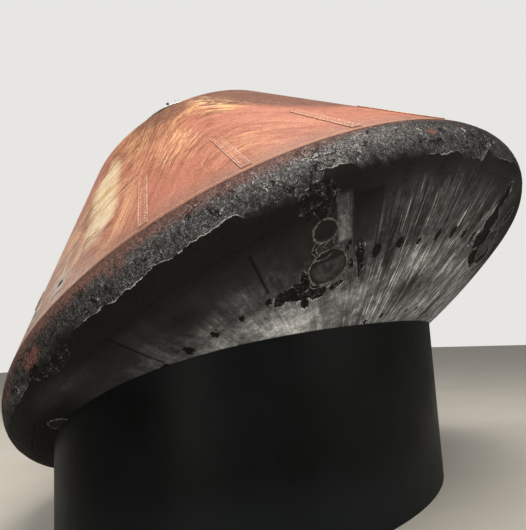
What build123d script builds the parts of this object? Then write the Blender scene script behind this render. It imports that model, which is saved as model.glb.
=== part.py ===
from build123d import *
import os
from math import atan2, cos, degrees, radians, sin, sqrt, tan

# A conical three-seat space capsule after its flight, tilted on a black display plinth.
# Row frame: origin at the centre of the plinth's foot on the floor, +Z up,
# the shield's raised side towards +Y, the crew hatch on the low side towards -Y.
# Capsule frame: z along the capsule's own axis from the lowest point of the shield's
# sphere, angles from +X towards +Y, which is the raised side.

# Outer shape of the capsule, which follows its greatest radius
MAX_RADIUS = 1956.0
SPHERE_RADIUS = 2.4 * MAX_RADIUS
CORNER_RADIUS = 0.1 * MAX_RADIUS
CONE_ANGLE = 33.0
EDGE_HEIGHT = 1.0787 * MAX_RADIUS
PANEL_JOINT_HEIGHT = 0.6033 * MAX_RADIUS

# How it stands
TILT = 30.65
SHIELD_LIFT = 0.3477 * MAX_RADIUS
SHIELD_OFFSET = 0.22 * MAX_RADIUS
PLINTH_HALF_LENGTH = 1670.0
PLINTH_HALF_WIDTH = 1110.0

# Walls and fits
SHIELD_WALL = 70.0
LOWER_WALL = 50.0
CREW_WALL = 90.0
SEAT_GAP = 0.3
HATCH_GAP = 6.0

# Derived points of the outline
CORNER_CENTRE_R = MAX_RADIUS - CORNER_RADIUS
CORNER_CENTRE_Z = SPHERE_RADIUS - sqrt((SPHERE_RADIUS - CORNER_RADIUS) ** 2 - CORNER_CENTRE_R**2)
SPHERE_END_ANGLE = degrees(atan2(CORNER_CENTRE_R, SPHERE_RADIUS - CORNER_CENTRE_Z))
CONE_COS = cos(radians(CONE_ANGLE))
CONE_SIN = sin(radians(CONE_ANGLE))
CONE_TAN = tan(radians(CONE_ANGLE))
CONE_START_R = CORNER_CENTRE_R + CORNER_RADIUS * CONE_COS
CONE_START_Z = CORNER_CENTRE_Z + CORNER_RADIUS * CONE_SIN

CAPSULE = Plane(
    origin=(0, SHIELD_OFFSET, SHIELD_LIFT),
    x_dir=(1, 0, 0),
    z_dir=(0, -sin(radians(TILT)), cos(radians(TILT))),
).location

os.makedirs("parts", exist_ok=True)


def write(name, pieces):
    """Puts the pieces of one node, given in the capsule frame, in place and saves them."""
    solids = [CAPSULE * piece for shape in pieces for piece in shape.solids()]
    whole = solids[0] if len(solids) == 1 else Compound(children=solids)
    export_step(whole, f"parts/{name}.step")


def cone_radius(height):
    """Radius of the cone's outer face at a height along the axis."""
    return CONE_START_R - (height - CONE_START_Z) * CONE_TAN


def wall_point(height, depth):
    """Point (radius, height) that lies depth below the cone's outer face, square to it."""
    return (cone_radius(height) - depth * CONE_COS, height - depth * CONE_SIN)


def inner_radius(height, wall):
    """Radius at a height of the cone face that lies a wall's thickness inside."""
    return cone_radius(height) - wall / CONE_COS


def turned(points, start=0.0, covered=360.0):
    """Solid of revolution of a closed outline of (radius, height) points."""
    outline = Plane.XZ * make_face(Polyline(*points, close=True))
    return Rot(0, 0, start) * revolve(outline, Axis.Z, covered)


def cone_band(low, high, outside, inside, start=0.0, covered=360.0):
    """Part of the cone's wall between two heights and two depths, over a range of angles."""
    corners = [
        wall_point(low, outside),
        wall_point(high, outside),
        wall_point(high, inside),
        wall_point(low, inside),
    ]
    return turned(corners, start, covered)


def wall_plane(angle, height, depth=0.0):
    """Plane that touches the cone at an angle and height: x along the wall, y up it, z out."""
    turn = radians(angle)
    radius, rise = wall_point(height, depth)
    return Plane(
        origin=(radius * cos(turn), radius * sin(turn), rise),
        x_dir=(-sin(turn), cos(turn), 0),
        z_dir=(CONE_COS * cos(turn), CONE_COS * sin(turn), CONE_SIN),
    )


def through(plane, outline, above, below, taper=0.0):
    """The outline carried square through a wall, from above its face to below it."""
    top = plane.offset(above)
    return extrude(top * outline, -(above + below), taper=taper)


def sphere_point(angle, depth):
    """Point (radius, height) of the shield at an angle from the axis, depth inside it."""
    reach = SPHERE_RADIUS - depth
    return (reach * sin(radians(angle)), SPHERE_RADIUS - reach * cos(radians(angle)))


def corner_point(angle, depth):
    """Point of the rounded corner at an angle above the horizontal, depth inside it."""
    reach = CORNER_RADIUS - depth
    return (
        CORNER_CENTRE_R + reach * cos(radians(angle)),
        CORNER_CENTRE_Z + reach * sin(radians(angle)),
    )


# Plinth: an upright drum with an oval foot, its top hollowed to the shield it carries.
foot = Ellipse(PLINTH_HALF_LENGTH, PLINTH_HALF_WIDTH)
drum = extrude(foot, SHIELD_LIFT + PLINTH_HALF_WIDTH)
sphere_centre = CAPSULE * Pos(0, 0, SPHERE_RADIUS)
plinth = drum - Pos(*sphere_centre.position) * Sphere(SPHERE_RADIUS + SEAT_GAP)
export_step(plinth.solids()[0], "parts/plinth.step")

# Aft heat shield: a shallow dish, part of a sphere outside, its inside welded from cone rings.
INNER_STEPS = 5

dish_outer = ThreePointArc(
    sphere_point(0, 0), sphere_point(SPHERE_END_ANGLE / 2, 0), sphere_point(SPHERE_END_ANGLE, 0)
)
dish_inner = Polyline(
    *[
        sphere_point(SPHERE_END_ANGLE * (1 - step / INNER_STEPS), SHIELD_WALL)
        for step in range(INNER_STEPS + 1)
    ]
)
dish_edge = Line(dish_outer @ 1, dish_inner @ 0)
dish_axis = Line(dish_inner @ 1, dish_outer @ 0)
dish = revolve(Plane.XZ * make_face([dish_outer, dish_edge, dish_inner, dish_axis]), Axis.Z)

# Tension-tie wells: a large and a small round pad at each of six stations of the dish.
PAD_FIRST_ANGLE = 44.3
PAD_STATIONS = 6
PAD_DEPTH = 24.0
PAD_ROWS = (  # distance in from the dish's edge, radius of the pad
    (317.0, 100.0),
    (95.0, 58.0),
)


def shield_pad(angle, inset, pad_radius):
    """Round pad let into the dish, square to it."""
    row_radius = sphere_point(SPHERE_END_ANGLE, 0)[0] - inset
    lean = degrees(atan2(row_radius, sqrt(SPHERE_RADIUS**2 - row_radius**2)))
    blank = Pos(0, 0, -SPHERE_RADIUS + PAD_DEPTH / 2) * Cylinder(pad_radius, PAD_DEPTH * 2)
    return Rot(0, 0, angle) * Pos(0, 0, SPHERE_RADIUS) * Rot(0, -lean, 0) * blank


pads = []
for station in range(PAD_STATIONS):
    for inset, pad_radius in PAD_ROWS:
        blank = shield_pad(PAD_FIRST_ANGLE + 360 / PAD_STATIONS * station, inset, pad_radius)
        pads.append(blank & dish)
for pad in pads:
    dish = dish - pad
write("aft_heat_shield", [dish])
write("shield_tie_pads", pads)

# Shield rim: the rounded corner between dish and side wall.
corner_low = SPHERE_END_ANGLE - 90
corner_mid = (corner_low + CONE_ANGLE) / 2
rim_outer = ThreePointArc(
    corner_point(corner_low, 0), corner_point(corner_mid, 0), corner_point(CONE_ANGLE, 0)
)
rim_inner = Polyline(
    *[
        corner_point(CONE_ANGLE + (corner_low - CONE_ANGLE) * step / INNER_STEPS, SHIELD_WALL)
        for step in range(INNER_STEPS + 1)
    ]
)
rim_top = Line(rim_outer @ 1, rim_inner @ 0)
rim_foot = Line(rim_inner @ 1, rim_outer @ 0)
rim = revolve(Plane.XZ * make_face([rim_outer, rim_top, rim_inner, rim_foot]), Axis.Z)
write("heat_shield_rim", [rim])

# Openings in the side wall. Angles are where each opening sits round the capsule.
HATCH_ANGLE = -90.0
HATCH_HEIGHT = 0.57 * PANEL_JOINT_HEIGHT + 0.43 * EDGE_HEIGHT
HATCH_WIDTH = 740.0
HATCH_LENGTH = 0.44 * MAX_RADIUS
HATCH_CORNER = 110.0
HATCH_TAPER = 5.0
CUT_CLEAR = 60.0

WINDOWS = (  # angle and height from the hatch, foot width, head width, length, corner radius
    (-32.0, 150.0, 250.0, 150.0, 330.0, 40.0),
    (32.0, 150.0, 250.0, 150.0, 330.0, 40.0),
    (-60.0, -20.0, 330.0, 330.0, 330.0, 60.0),
    (60.0, -20.0, 330.0, 330.0, 330.0, 60.0),
)
HATCH_WINDOW = (0.0, 80.0, 250.0, 250.0, 260.0, 90.0)
WINDOW_FRAME_WIDTH = 22.0
WINDOW_FRAME_RISE = 5.0
PANE_DEPTH = 38.0
PANE_THICKNESS = 14.0

THRUSTERS = (  # angle, height over the rim, outlet radius, half the pair's spread in degrees
    (0.0, 139.0, 18.0, 4.35),
    (180.0, 139.0, 18.0, 4.35),
    (HATCH_ANGLE, 169.0, 18.0, 4.35),
    (-38.0, 139.0, 18.0, 4.35),
    (-142.0, 139.0, 18.0, 4.35),
)
NOZZLE_WALL = 5.0
NOZZLE_DEPTH = 90.0
NOZZLE_THROAT = 7.0
THRUSTER_PANEL_WIDTH = 120.0
THRUSTER_PANEL_LENGTH = 150.0
THRUSTER_PANEL_CORNER = 24.0
THRUSTER_PANEL_RISE = 2.0

UMBILICAL_ANGLE = 90.0
UMBILICAL_HEIGHT = (CONE_START_Z + PANEL_JOINT_HEIGHT) / 2
UMBILICAL_WIDTH = 330.0
UMBILICAL_LENGTH = 400.0
UMBILICAL_DEPTH = 34.0
UMBILICAL_CORNER = 40.0


def rounded_taper(foot_width, head_width, length, corner):
    """Outline of a window: a trapezium with rounded corners, its foot at the low end."""
    half = length / 2
    shape = make_face(
        Polyline(
            (-foot_width / 2, -half),
            (foot_width / 2, -half),
            (head_width / 2, half),
            (-head_width / 2, half),
            close=True,
        )
    )
    return fillet(shape.vertices(), corner)


hatch_plane = wall_plane(HATCH_ANGLE, HATCH_HEIGHT)
hatch_hole = through(
    hatch_plane,
    RectangleRounded(HATCH_WIDTH, HATCH_LENGTH, HATCH_CORNER),
    CUT_CLEAR,
    CREW_WALL + 2 * CUT_CLEAR,
    HATCH_TAPER,
)
hatch_blank = through(
    hatch_plane,
    RectangleRounded(
        HATCH_WIDTH - 2 * HATCH_GAP, HATCH_LENGTH - 2 * HATCH_GAP, HATCH_CORNER - HATCH_GAP
    ),
    CUT_CLEAR,
    CREW_WALL + 2 * CUT_CLEAR,
    HATCH_TAPER,
)

window_holes = []
window_frames = []
window_panes = []
for window in WINDOWS + (HATCH_WINDOW,):
    offset, lift, foot_width, head_width, length, corner = window
    angle = HATCH_ANGLE + offset
    plane = wall_plane(angle, HATCH_HEIGHT + lift)
    outline = rounded_taper(foot_width, head_width, length, corner)
    inner = rounded_taper(
        foot_width - 2 * WINDOW_FRAME_WIDTH,
        head_width - 2 * WINDOW_FRAME_WIDTH,
        length - 2 * WINDOW_FRAME_WIDTH,
        corner - WINDOW_FRAME_WIDTH / 2,
    )
    band = cone_band(
        PANEL_JOINT_HEIGHT, EDGE_HEIGHT, -WINDOW_FRAME_RISE, CREW_WALL, angle - 15, 30
    )
    hole = through(plane, outline, CUT_CLEAR, CREW_WALL + CUT_CLEAR)
    light = through(plane, inner, CUT_CLEAR, CREW_WALL + CUT_CLEAR)
    window_holes.append(hole)
    window_frames.append((hole & band) - light)
    window_panes.append(extrude(plane.offset(-PANE_DEPTH) * inner, -PANE_THICKNESS))
hatch_window_hole = window_holes.pop()
hatch_window_frame = window_frames.pop()
hatch_window_pane = window_panes.pop()
write("window_frames", window_frames)
write("window_panes", window_panes)

# Crew compartment wall: three panels that meet beside the hatch panel and at the back.
CREW_PANELS = (  # node, first angle, angle covered
    ("crew_wall_hatch_side", -130.0, 80.0),
    ("crew_wall_right", -50.0, 140.0),
    ("crew_wall_left", 90.0, 140.0),
)
for name, start, covered in CREW_PANELS:
    panel = cone_band(PANEL_JOINT_HEIGHT, EDGE_HEIGHT, 0, CREW_WALL, start, covered)
    panel = panel - hatch_hole
    for hole in window_holes:
        panel = panel - hole
    write(name, [panel])

# Thrusters: cups with flared mouths, let into plates on the lower wall.
nozzles = []
nozzle_holes = []
plates = []
for centre_angle, lift, outlet, spread in THRUSTERS:
    plate_band = cone_band(
        CONE_START_Z, PANEL_JOINT_HEIGHT, -THRUSTER_PANEL_RISE, 0, centre_angle - 20, 40
    )
    for side in (-1, 1):
        angle = centre_angle + side * spread
        plane = wall_plane(angle, CONE_START_Z + lift)
        well_middle = Pos(0, 0, (CUT_CLEAR - NOZZLE_DEPTH) / 2)
        well_blank = Cylinder(outlet + NOZZLE_WALL, NOZZLE_DEPTH + CUT_CLEAR)
        well = plane.location * well_middle * well_blank
        bell = plane.location * revolve(
            Plane.XZ
            * make_face(
                Polyline(
                    (NOZZLE_THROAT, -NOZZLE_DEPTH),
                    (outlet + NOZZLE_WALL, -NOZZLE_DEPTH),
                    (outlet + NOZZLE_WALL, CUT_CLEAR),
                    (outlet, CUT_CLEAR),
                    (outlet, 0),
                    close=True,
                )
            ),
            Axis.Z,
        )
        trim = cone_band(
            CONE_START_Z - CUT_CLEAR,
            PANEL_JOINT_HEIGHT,
            -THRUSTER_PANEL_RISE,
            NOZZLE_DEPTH + 2 * CUT_CLEAR,
            angle - 10,
            20,
        )
        nozzle_holes.append(well)
        nozzles.append(bell & trim)
        outline = through(
            plane,
            RectangleRounded(
                THRUSTER_PANEL_WIDTH, THRUSTER_PANEL_LENGTH, THRUSTER_PANEL_CORNER
            ),
            CUT_CLEAR,
            CUT_CLEAR,
        )
        plates.append((outline & plate_band) - well)
write("thruster_nozzles", nozzles)
write("thruster_plates", plates)

# Lower side panels, over the equipment space round the cabin's foot.
LOWER_PANELS = (  # node, first angle, angle covered
    ("lower_panel_right", -55.1, 110.2),
    ("lower_panel_raised", 55.1, 69.8),
    ("lower_panel_left", 124.9, 110.2),
    ("lower_panel_hatch", 235.1, 69.8),
)
umbilical_plane = wall_plane(UMBILICAL_ANGLE, UMBILICAL_HEIGHT)
umbilical_hole = through(
    umbilical_plane,
    RectangleRounded(UMBILICAL_WIDTH, UMBILICAL_LENGTH, UMBILICAL_CORNER),
    CUT_CLEAR,
    UMBILICAL_DEPTH,
)
for name, start, covered in LOWER_PANELS:
    panel = cone_band(CONE_START_Z, PANEL_JOINT_HEIGHT, 0, LOWER_WALL, start, covered)
    for hole in nozzle_holes + [umbilical_hole]:
        panel = panel - hole
    write(name, [panel])

# Joint strips over the seams of the lower panels.
STRIP_WIDTH = 50.0
STRIP_RISE = 5.0
STRIP_ANGLES = (22.2, 37.9, 55.1, 73.0, 107.0, 124.9, 142.1, 157.8, 202.2, 235.1, 304.9, 337.8)
STRIP_LOW = CONE_START_Z + 29.0
STRIP_HIGH = PANEL_JOINT_HEIGHT - 8.0


def wall_strip(angle, low, high, width, rise):
    """Strip with parallel edges that lies up the cone's face."""
    middle = (low + high) / 2
    outline = Rectangle(width, (high - low) / CONE_COS)
    blank = through(wall_plane(angle, middle), outline, CUT_CLEAR, CUT_CLEAR)
    return blank & cone_band(low - width, high + width, -rise, 0, angle - 6, 12)


strips = [wall_strip(angle, STRIP_LOW, STRIP_HIGH, STRIP_WIDTH, STRIP_RISE) for angle in STRIP_ANGLES]
write("panel_joint_strips", strips)

# Forward frame and deck: a ring inside the wall's top edge and the deck it carries.
DECK_TOP = EDGE_HEIGHT - 70.0
DECK_THICKNESS = 40.0
TUNNEL_OUTER = 400.0
TUNNEL_WALL = 30.0
TUNNEL_TOP = DECK_TOP + 625.0
TUNNEL_FOOT = DECK_TOP - 60.0
TUNNEL_LEDGE = 5.0
TUNNEL_LEDGE_HEIGHT = DECK_TOP + 85.0
RING_OUTER = 422.0
RING_HEIGHT = 28.0

deck_foot = DECK_TOP - DECK_THICKNESS
deck_edge = inner_radius(DECK_TOP, CREW_WALL)
deck = turned(
    [
        (TUNNEL_OUTER, deck_foot),
        (inner_radius(deck_foot, CREW_WALL), deck_foot),
        (deck_edge, DECK_TOP),
        (TUNNEL_OUTER, DECK_TOP),
    ]
)
write("forward_deck", [deck])

# Docking tunnel: a tube through the deck, with its ring on top and its own hatch inside.
TUNNEL_INNER = TUNNEL_OUTER - TUNNEL_WALL
tunnel_seat = TUNNEL_INNER - TUNNEL_LEDGE
tunnel = turned(
    [
        (tunnel_seat, TUNNEL_FOOT),
        (TUNNEL_OUTER, TUNNEL_FOOT),
        (TUNNEL_OUTER, TUNNEL_TOP),
        (TUNNEL_INNER, TUNNEL_TOP),
        (TUNNEL_INNER, TUNNEL_LEDGE_HEIGHT),
        (tunnel_seat, TUNNEL_LEDGE_HEIGHT),
    ]
)
write("docking_tunnel", [tunnel])
ring = turned(
    [
        (TUNNEL_INNER, TUNNEL_TOP),
        (RING_OUTER, TUNNEL_TOP),
        (RING_OUTER, TUNNEL_TOP + RING_HEIGHT / 2),
        (RING_OUTER - RING_HEIGHT / 2, TUNNEL_TOP + RING_HEIGHT),
        (TUNNEL_INNER, TUNNEL_TOP + RING_HEIGHT),
    ]
)
write("docking_ring", [ring])

TUNNEL_HATCH_TOP = DECK_TOP + 45.0
TUNNEL_HATCH_THICKNESS = 60.0
TUNNEL_HATCH_DISH = 30.0
lid_radius = tunnel_seat - SEAT_GAP
lid = turned(
    [
        (0, TUNNEL_HATCH_TOP - TUNNEL_HATCH_THICKNESS),
        (lid_radius, TUNNEL_HATCH_TOP - TUNNEL_HATCH_THICKNESS),
        (lid_radius, TUNNEL_HATCH_TOP),
        (0.7 * lid_radius, TUNNEL_HATCH_TOP + 0.7 * TUNNEL_HATCH_DISH),
        (0, TUNNEL_HATCH_TOP + TUNNEL_HATCH_DISH),
    ]
)
write("tunnel_hatch", [lid])

# Four gussets stand on the deck between tunnel and edge.
GUSSET_THICKNESS = 36.0
GUSSET_TOP = TUNNEL_TOP - 105.0
GUSSET_TOE = 70.0
GUSSET_HEAD = 40.0
GUSSET_INSET = 30.0
gusset_end = deck_edge - GUSSET_INSET
gusset_face = Plane.XZ * make_face(
    Polyline(
        (TUNNEL_OUTER, DECK_TOP),
        (gusset_end, DECK_TOP),
        (gusset_end - GUSSET_INSET, DECK_TOP + GUSSET_TOE),
        (TUNNEL_OUTER + GUSSET_HEAD, GUSSET_TOP),
        (TUNNEL_OUTER, GUSSET_TOP),
        close=True,
    )
)
gusset = extrude(gusset_face, GUSSET_THICKNESS / 2, both=True)
gusset = gusset - Pos(0, 0, DECK_TOP) * Cylinder(TUNNEL_OUTER + SEAT_GAP, 2 * GUSSET_TOP)
write("deck_gussets", [Rot(0, 0, 45 + 90 * quarter) * gusset for quarter in range(4)])

# Mortars, float bag cans and fittings on the deck, one row each.
DECK_CANS = (  # node, radius, height, distance in from the deck's edge, angles
    ("drogue_mortars", 100.0, 330.0, 300.0, (-68.0, -112.0)),
    ("pilot_mortars", 62.0, 250.0, 220.0, (20.0, 160.0, 270.0)),
    ("float_bag_cans", 110.0, 180.0, 280.0, (68.0, 112.0, 182.0)),
)
CAN_WALL = 8.0
CAN_FLANGE = 14.0
CAN_FLANGE_THICKNESS = 12.0
CAN_MOUTH = 60.0
for name, radius, height, inset, angles in DECK_CANS:
    can = turned(
        [
            (0, DECK_TOP),
            (radius + CAN_FLANGE, DECK_TOP),
            (radius + CAN_FLANGE, DECK_TOP + CAN_FLANGE_THICKNESS),
            (radius, DECK_TOP + CAN_FLANGE_THICKNESS),
            (radius, DECK_TOP + height),
            (radius - CAN_WALL, DECK_TOP + height),
            (radius - CAN_WALL, DECK_TOP + height - CAN_MOUTH),
            (0, DECK_TOP + height - CAN_MOUTH),
        ]
    )
    write(name, [Rot(0, 0, angle) * Pos(deck_edge - inset, 0, 0) * can for angle in angles])

# Recovery loop: a stirrup beside the tunnel that the crane hook takes.
LOOP_ANGLE = 0.0
LOOP_BAR = 14.0
LOOP_HALF_SPAN = 90.0
LOOP_REACH = TUNNEL_OUTER + 100.0
LOOP_HEIGHT = 330.0
loop_path = FilletPolyline(
    (LOOP_REACH, -LOOP_HALF_SPAN, DECK_TOP),
    (LOOP_REACH, -LOOP_HALF_SPAN, DECK_TOP + LOOP_HEIGHT),
    (LOOP_REACH, LOOP_HALF_SPAN, DECK_TOP + LOOP_HEIGHT),
    (LOOP_REACH, LOOP_HALF_SPAN, DECK_TOP),
    radius=LOOP_HALF_SPAN * 0.8,
)
loop = sweep(Plane(loop_path @ 0, z_dir=loop_path % 0) * Circle(LOOP_BAR), path=loop_path)
write("recovery_loop", [Rot(0, 0, LOOP_ANGLE) * loop])

# Recovery aids on the deck: two whip antennas and the flashing lamp, each on its socket.
AIDS = (  # angle, distance in from the deck's edge, stem radius, height, socket radius
    (-22.0, 360.0, 9.0, 420.0, 36.0),
    (204.0, 360.0, 9.0, 420.0, 36.0),
    (208.0, 140.0, 30.0, 120.0, 44.0),
)
AID_SOCKET_HEIGHT = 30.0
AID_SHOULDER = 48.0
aids = []
for angle, inset, stem, height, socket in AIDS:
    aid = turned(
        [
            (0, DECK_TOP),
            (socket, DECK_TOP),
            (socket, DECK_TOP + AID_SOCKET_HEIGHT),
            (stem, DECK_TOP + AID_SHOULDER),
            (stem, DECK_TOP + height),
            (0, DECK_TOP + height),
        ]
    )
    aids.append(Rot(0, 0, angle) * Pos(deck_edge - inset, 0, 0) * aid)
write("recovery_aids", aids)

# Umbilical socket: a sunk plate with rows of connector shells, opposite the crew hatch.
CONNECTOR_ROWS = 3
CONNECTOR_COLUMNS = 3
CONNECTOR_RADIUS = 32.0
CONNECTOR_PITCH = 96.0
CONNECTOR_RISE = 24.0
SOCKET_BORDER = 40.0
SOCKET_THICKNESS = 8.0
connector_floor = umbilical_plane.offset(-UMBILICAL_DEPTH)
socket = extrude(
    connector_floor
    * RectangleRounded(
        UMBILICAL_WIDTH - SOCKET_BORDER, UMBILICAL_LENGTH - SOCKET_BORDER, UMBILICAL_CORNER / 2
    ),
    SOCKET_THICKNESS,
)
for row in range(CONNECTOR_ROWS):
    for column in range(CONNECTOR_COLUMNS):
        middle = Pos(
            CONNECTOR_PITCH * (column - (CONNECTOR_COLUMNS - 1) / 2),
            CONNECTOR_PITCH * (row - (CONNECTOR_ROWS - 1) / 2),
            CONNECTOR_RISE / 2,
        )
        socket = socket + connector_floor.location * middle * Cylinder(
            CONNECTOR_RADIUS, CONNECTOR_RISE
        )
write("umbilical_socket", [socket])

# Vents and flush antennas: round covers on the lower wall.
COVERS = (  # node, cover radius, rise, distance below the panel joint, angles
    ("wall_vents", 60.0, 6.0, 140.0, (-12.0, 192.0)),
    ("flush_antennas", 90.0, 5.0, 130.0, (116.0, 172.0, 250.0, 290.0)),
)
for name, radius, rise, drop, angles in COVERS:
    covers = []
    for angle in angles:
        middle = wall_plane(angle, PANEL_JOINT_HEIGHT - drop)
        blank = middle.location * Cylinder(radius, 2 * CUT_CLEAR)
        covers.append(blank & cone_band(CONE_START_Z, PANEL_JOINT_HEIGHT, -rise, 0, angle - 8, 16))
    write(name, covers)

# Handrails beside and above the crew hatch.
RAIL_BAR = 12.0
RAIL_STAND = 55.0
RAIL_BEND = 30.0
RAILS = (  # angle and drop from the hatch's middle, length up the wall
    (-24.0, 160.0, 420.0),
    (46.0, 140.0, 420.0),
)
rails = []
for offset, drop, length in RAILS:
    plane = wall_plane(HATCH_ANGLE + offset, HATCH_HEIGHT - drop)
    path = FilletPolyline(
        (0, -length / 2, 0),
        (0, -length / 2, RAIL_STAND),
        (0, length / 2, RAIL_STAND),
        (0, length / 2, 0),
        radius=RAIL_BEND,
    )
    bar = sweep(Plane(path @ 0, z_dir=path % 0) * Circle(RAIL_BAR), path=path)
    rails.append(plane.location * bar)
write("handrails", rails)

# Cabin floor: the bulkhead over the shield.
FLOOR_TOP = CONE_START_Z + 59.0
FLOOR_THICKNESS = 30.0
floor_foot = FLOOR_TOP - FLOOR_THICKNESS
floor = turned(
    [
        (0, floor_foot),
        (inner_radius(floor_foot, LOWER_WALL), floor_foot),
        (inner_radius(FLOOR_TOP, LOWER_WALL), FLOOR_TOP),
        (0, FLOOR_TOP),
    ]
)
for well in nozzle_holes:
    floor = floor - well
write("cabin_floor", [floor])

# Couches: three pans side by side, heads to the hatch, on one frame over the floor.
COUCH_PITCH = 600.0
COUCH_WIDTH = 540.0
COUCH_PLATE = 60.0
COUCH_BACK = FLOOR_TOP + 260.0
COUCH_HEAD = -780.0
COUCH_HIP = 80.0
COUCH_KNEE = 420.0
COUCH_FOOT = 760.0
COUCH_KNEE_RISE = 240.0
COUCH_FOOT_RISE = 120.0

couch_outline = Plane.YZ * make_face(
    Polyline(
        (COUCH_HEAD, COUCH_BACK),
        (COUCH_HIP, COUCH_BACK),
        (COUCH_KNEE, COUCH_BACK + COUCH_KNEE_RISE),
        (COUCH_FOOT, COUCH_BACK + COUCH_FOOT_RISE),
        (COUCH_FOOT, COUCH_BACK + COUCH_FOOT_RISE + COUCH_PLATE),
        (COUCH_KNEE, COUCH_BACK + COUCH_KNEE_RISE + COUCH_PLATE),
        (COUCH_HIP, COUCH_BACK + COUCH_PLATE),
        (COUCH_HEAD, COUCH_BACK + COUCH_PLATE),
        close=True,
    )
)
couch = extrude(couch_outline, COUCH_WIDTH / 2, both=True)
for name, place in (("couch_left", -1), ("couch_centre", 0), ("couch_right", 1)):
    write(name, [Pos(place * COUCH_PITCH, 0, 0) * couch])

# Couch frame: two cross beams on four posts that stand on the floor.
POST = 45.0
BEAM_PLACES = (COUCH_HEAD + 120.0, COUCH_HIP - 100.0)
frame_parts = []
for y in BEAM_PLACES:
    beam = Pos(0, y, COUCH_BACK - POST / 2) * Box(2 * COUCH_PITCH + COUCH_WIDTH, POST, POST)
    post_height = COUCH_BACK - POST - FLOOR_TOP
    for x in (-COUCH_PITCH, COUCH_PITCH):
        beam = beam + Pos(x, y, FLOOR_TOP + post_height / 2) * Box(POST, POST, post_height)
    frame_parts.append(beam)
write("couch_frame", frame_parts)

# Display console: a wide panel with two wings, across the cabin over the crew's knees.
CONSOLE_FOOT = PANEL_JOINT_HEIGHT + 380.0
CONSOLE_HEIGHT = 240.0
CONSOLE_DEPTH = 90.0
CONSOLE_HALF = 560.0
CONSOLE_WING = MAX_RADIUS - CONSOLE_HALF
CONSOLE_SWEEP = 440.0
CONSOLE_Y = 150.0
console_outline = make_face(
    Polyline(
        (-CONSOLE_HALF - CONSOLE_WING, CONSOLE_Y - CONSOLE_SWEEP),
        (-CONSOLE_HALF, CONSOLE_Y),
        (CONSOLE_HALF, CONSOLE_Y),
        (CONSOLE_HALF + CONSOLE_WING, CONSOLE_Y - CONSOLE_SWEEP),
        (CONSOLE_HALF + CONSOLE_WING, CONSOLE_Y - CONSOLE_SWEEP + CONSOLE_DEPTH),
        (CONSOLE_HALF, CONSOLE_Y + CONSOLE_DEPTH),
        (-CONSOLE_HALF, CONSOLE_Y + CONSOLE_DEPTH),
        (-CONSOLE_HALF - CONSOLE_WING, CONSOLE_Y - CONSOLE_SWEEP + CONSOLE_DEPTH),
        close=True,
    )
)
inside = turned(
    [
        (0, FLOOR_TOP),
        (inner_radius(FLOOR_TOP, CREW_WALL) - SEAT_GAP, FLOOR_TOP),
        (inner_radius(deck_foot, CREW_WALL) - SEAT_GAP, deck_foot),
        (0, deck_foot),
    ]
)
console = extrude(Plane.XY.offset(CONSOLE_FOOT) * console_outline, CONSOLE_HEIGHT)
write("display_console", [console & inside])

# Equipment bay: lockers against the wall at the crew's feet.
BAY_FACE = 0.44 * MAX_RADIUS
BAY_HALF_WIDTH = 700.0
bay = Pos(0, (BAY_FACE + MAX_RADIUS) / 2, (FLOOR_TOP + CONSOLE_FOOT) / 2) * Box(
    2 * BAY_HALF_WIDTH, MAX_RADIUS - BAY_FACE, CONSOLE_FOOT - FLOOR_TOP
)
write("equipment_bay", [bay & inside])

# Crew hatch: a leaf cut from the wall, with its window, hinged at its +X side.
leaf_band = cone_band(PANEL_JOINT_HEIGHT, EDGE_HEIGHT, 0, CREW_WALL, HATCH_ANGLE - 30, 60)
write("hatch_leaf", [(leaf_band & hatch_blank) - hatch_window_hole])
write("hatch_window_frame", [hatch_window_frame])
write("hatch_window_pane", [hatch_window_pane])

HINGE_SIDE = HATCH_WIDTH / 2 + 40.0
HINGE_DROP = -22.0
PIN_RADIUS = 8.0
PIN_CLEAR = 0.3
BARREL_RADIUS = 18.0
EAR_RADIUS = BARREL_RADIUS + 6.0
ARM_WIDTH = 60.0
ARM_THICKNESS = 12.0
ARM_REACH = 180.0
EAR_THICKNESS = 16.0
EAR_GAP = 5.0
EAR_FOOT = 80.0
HINGE_STATIONS = (-250.0, 250.0)

outer_cone = cone_band(
    CONE_START_Z, EDGE_HEIGHT, 0, CREW_WALL + ARM_REACH, HATCH_ANGLE - 40, 80
)
arms = []
brackets = []
for station in HINGE_STATIONS:
    place = hatch_plane.location * Pos(HINGE_SIDE, station, HINGE_DROP) * Rot(-90, 0, 0)
    barrel = Cylinder(BARREL_RADIUS, ARM_WIDTH) - Cylinder(PIN_RADIUS + PIN_CLEAR, ARM_WIDTH)
    strap = Pos(-(ARM_REACH + BARREL_RADIUS) / 2, 0, 0) * Box(
        ARM_REACH, ARM_THICKNESS, ARM_WIDTH
    )
    arm = barrel + (strap - Cylinder(PIN_RADIUS + PIN_CLEAR, ARM_WIDTH))
    arms.append((place * arm) - outer_cone)
    bracket = Cylinder(PIN_RADIUS, ARM_WIDTH + 2 * EAR_GAP)
    for side in (-1, 1):
        ear_place = Pos(0, 0, side * (ARM_WIDTH / 2 + EAR_GAP + EAR_THICKNESS / 2))
        bracket = bracket + ear_place * Cylinder(EAR_RADIUS, EAR_THICKNESS)
        bracket = bracket + ear_place * Pos(0, EAR_FOOT / 2, 0) * Box(
            2 * EAR_RADIUS, EAR_FOOT, EAR_THICKNESS
        )
    brackets.append((place * bracket) - outer_cone)
write("hatch_hinge_arms", arms)
write("hatch_hinge_brackets", brackets)

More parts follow.
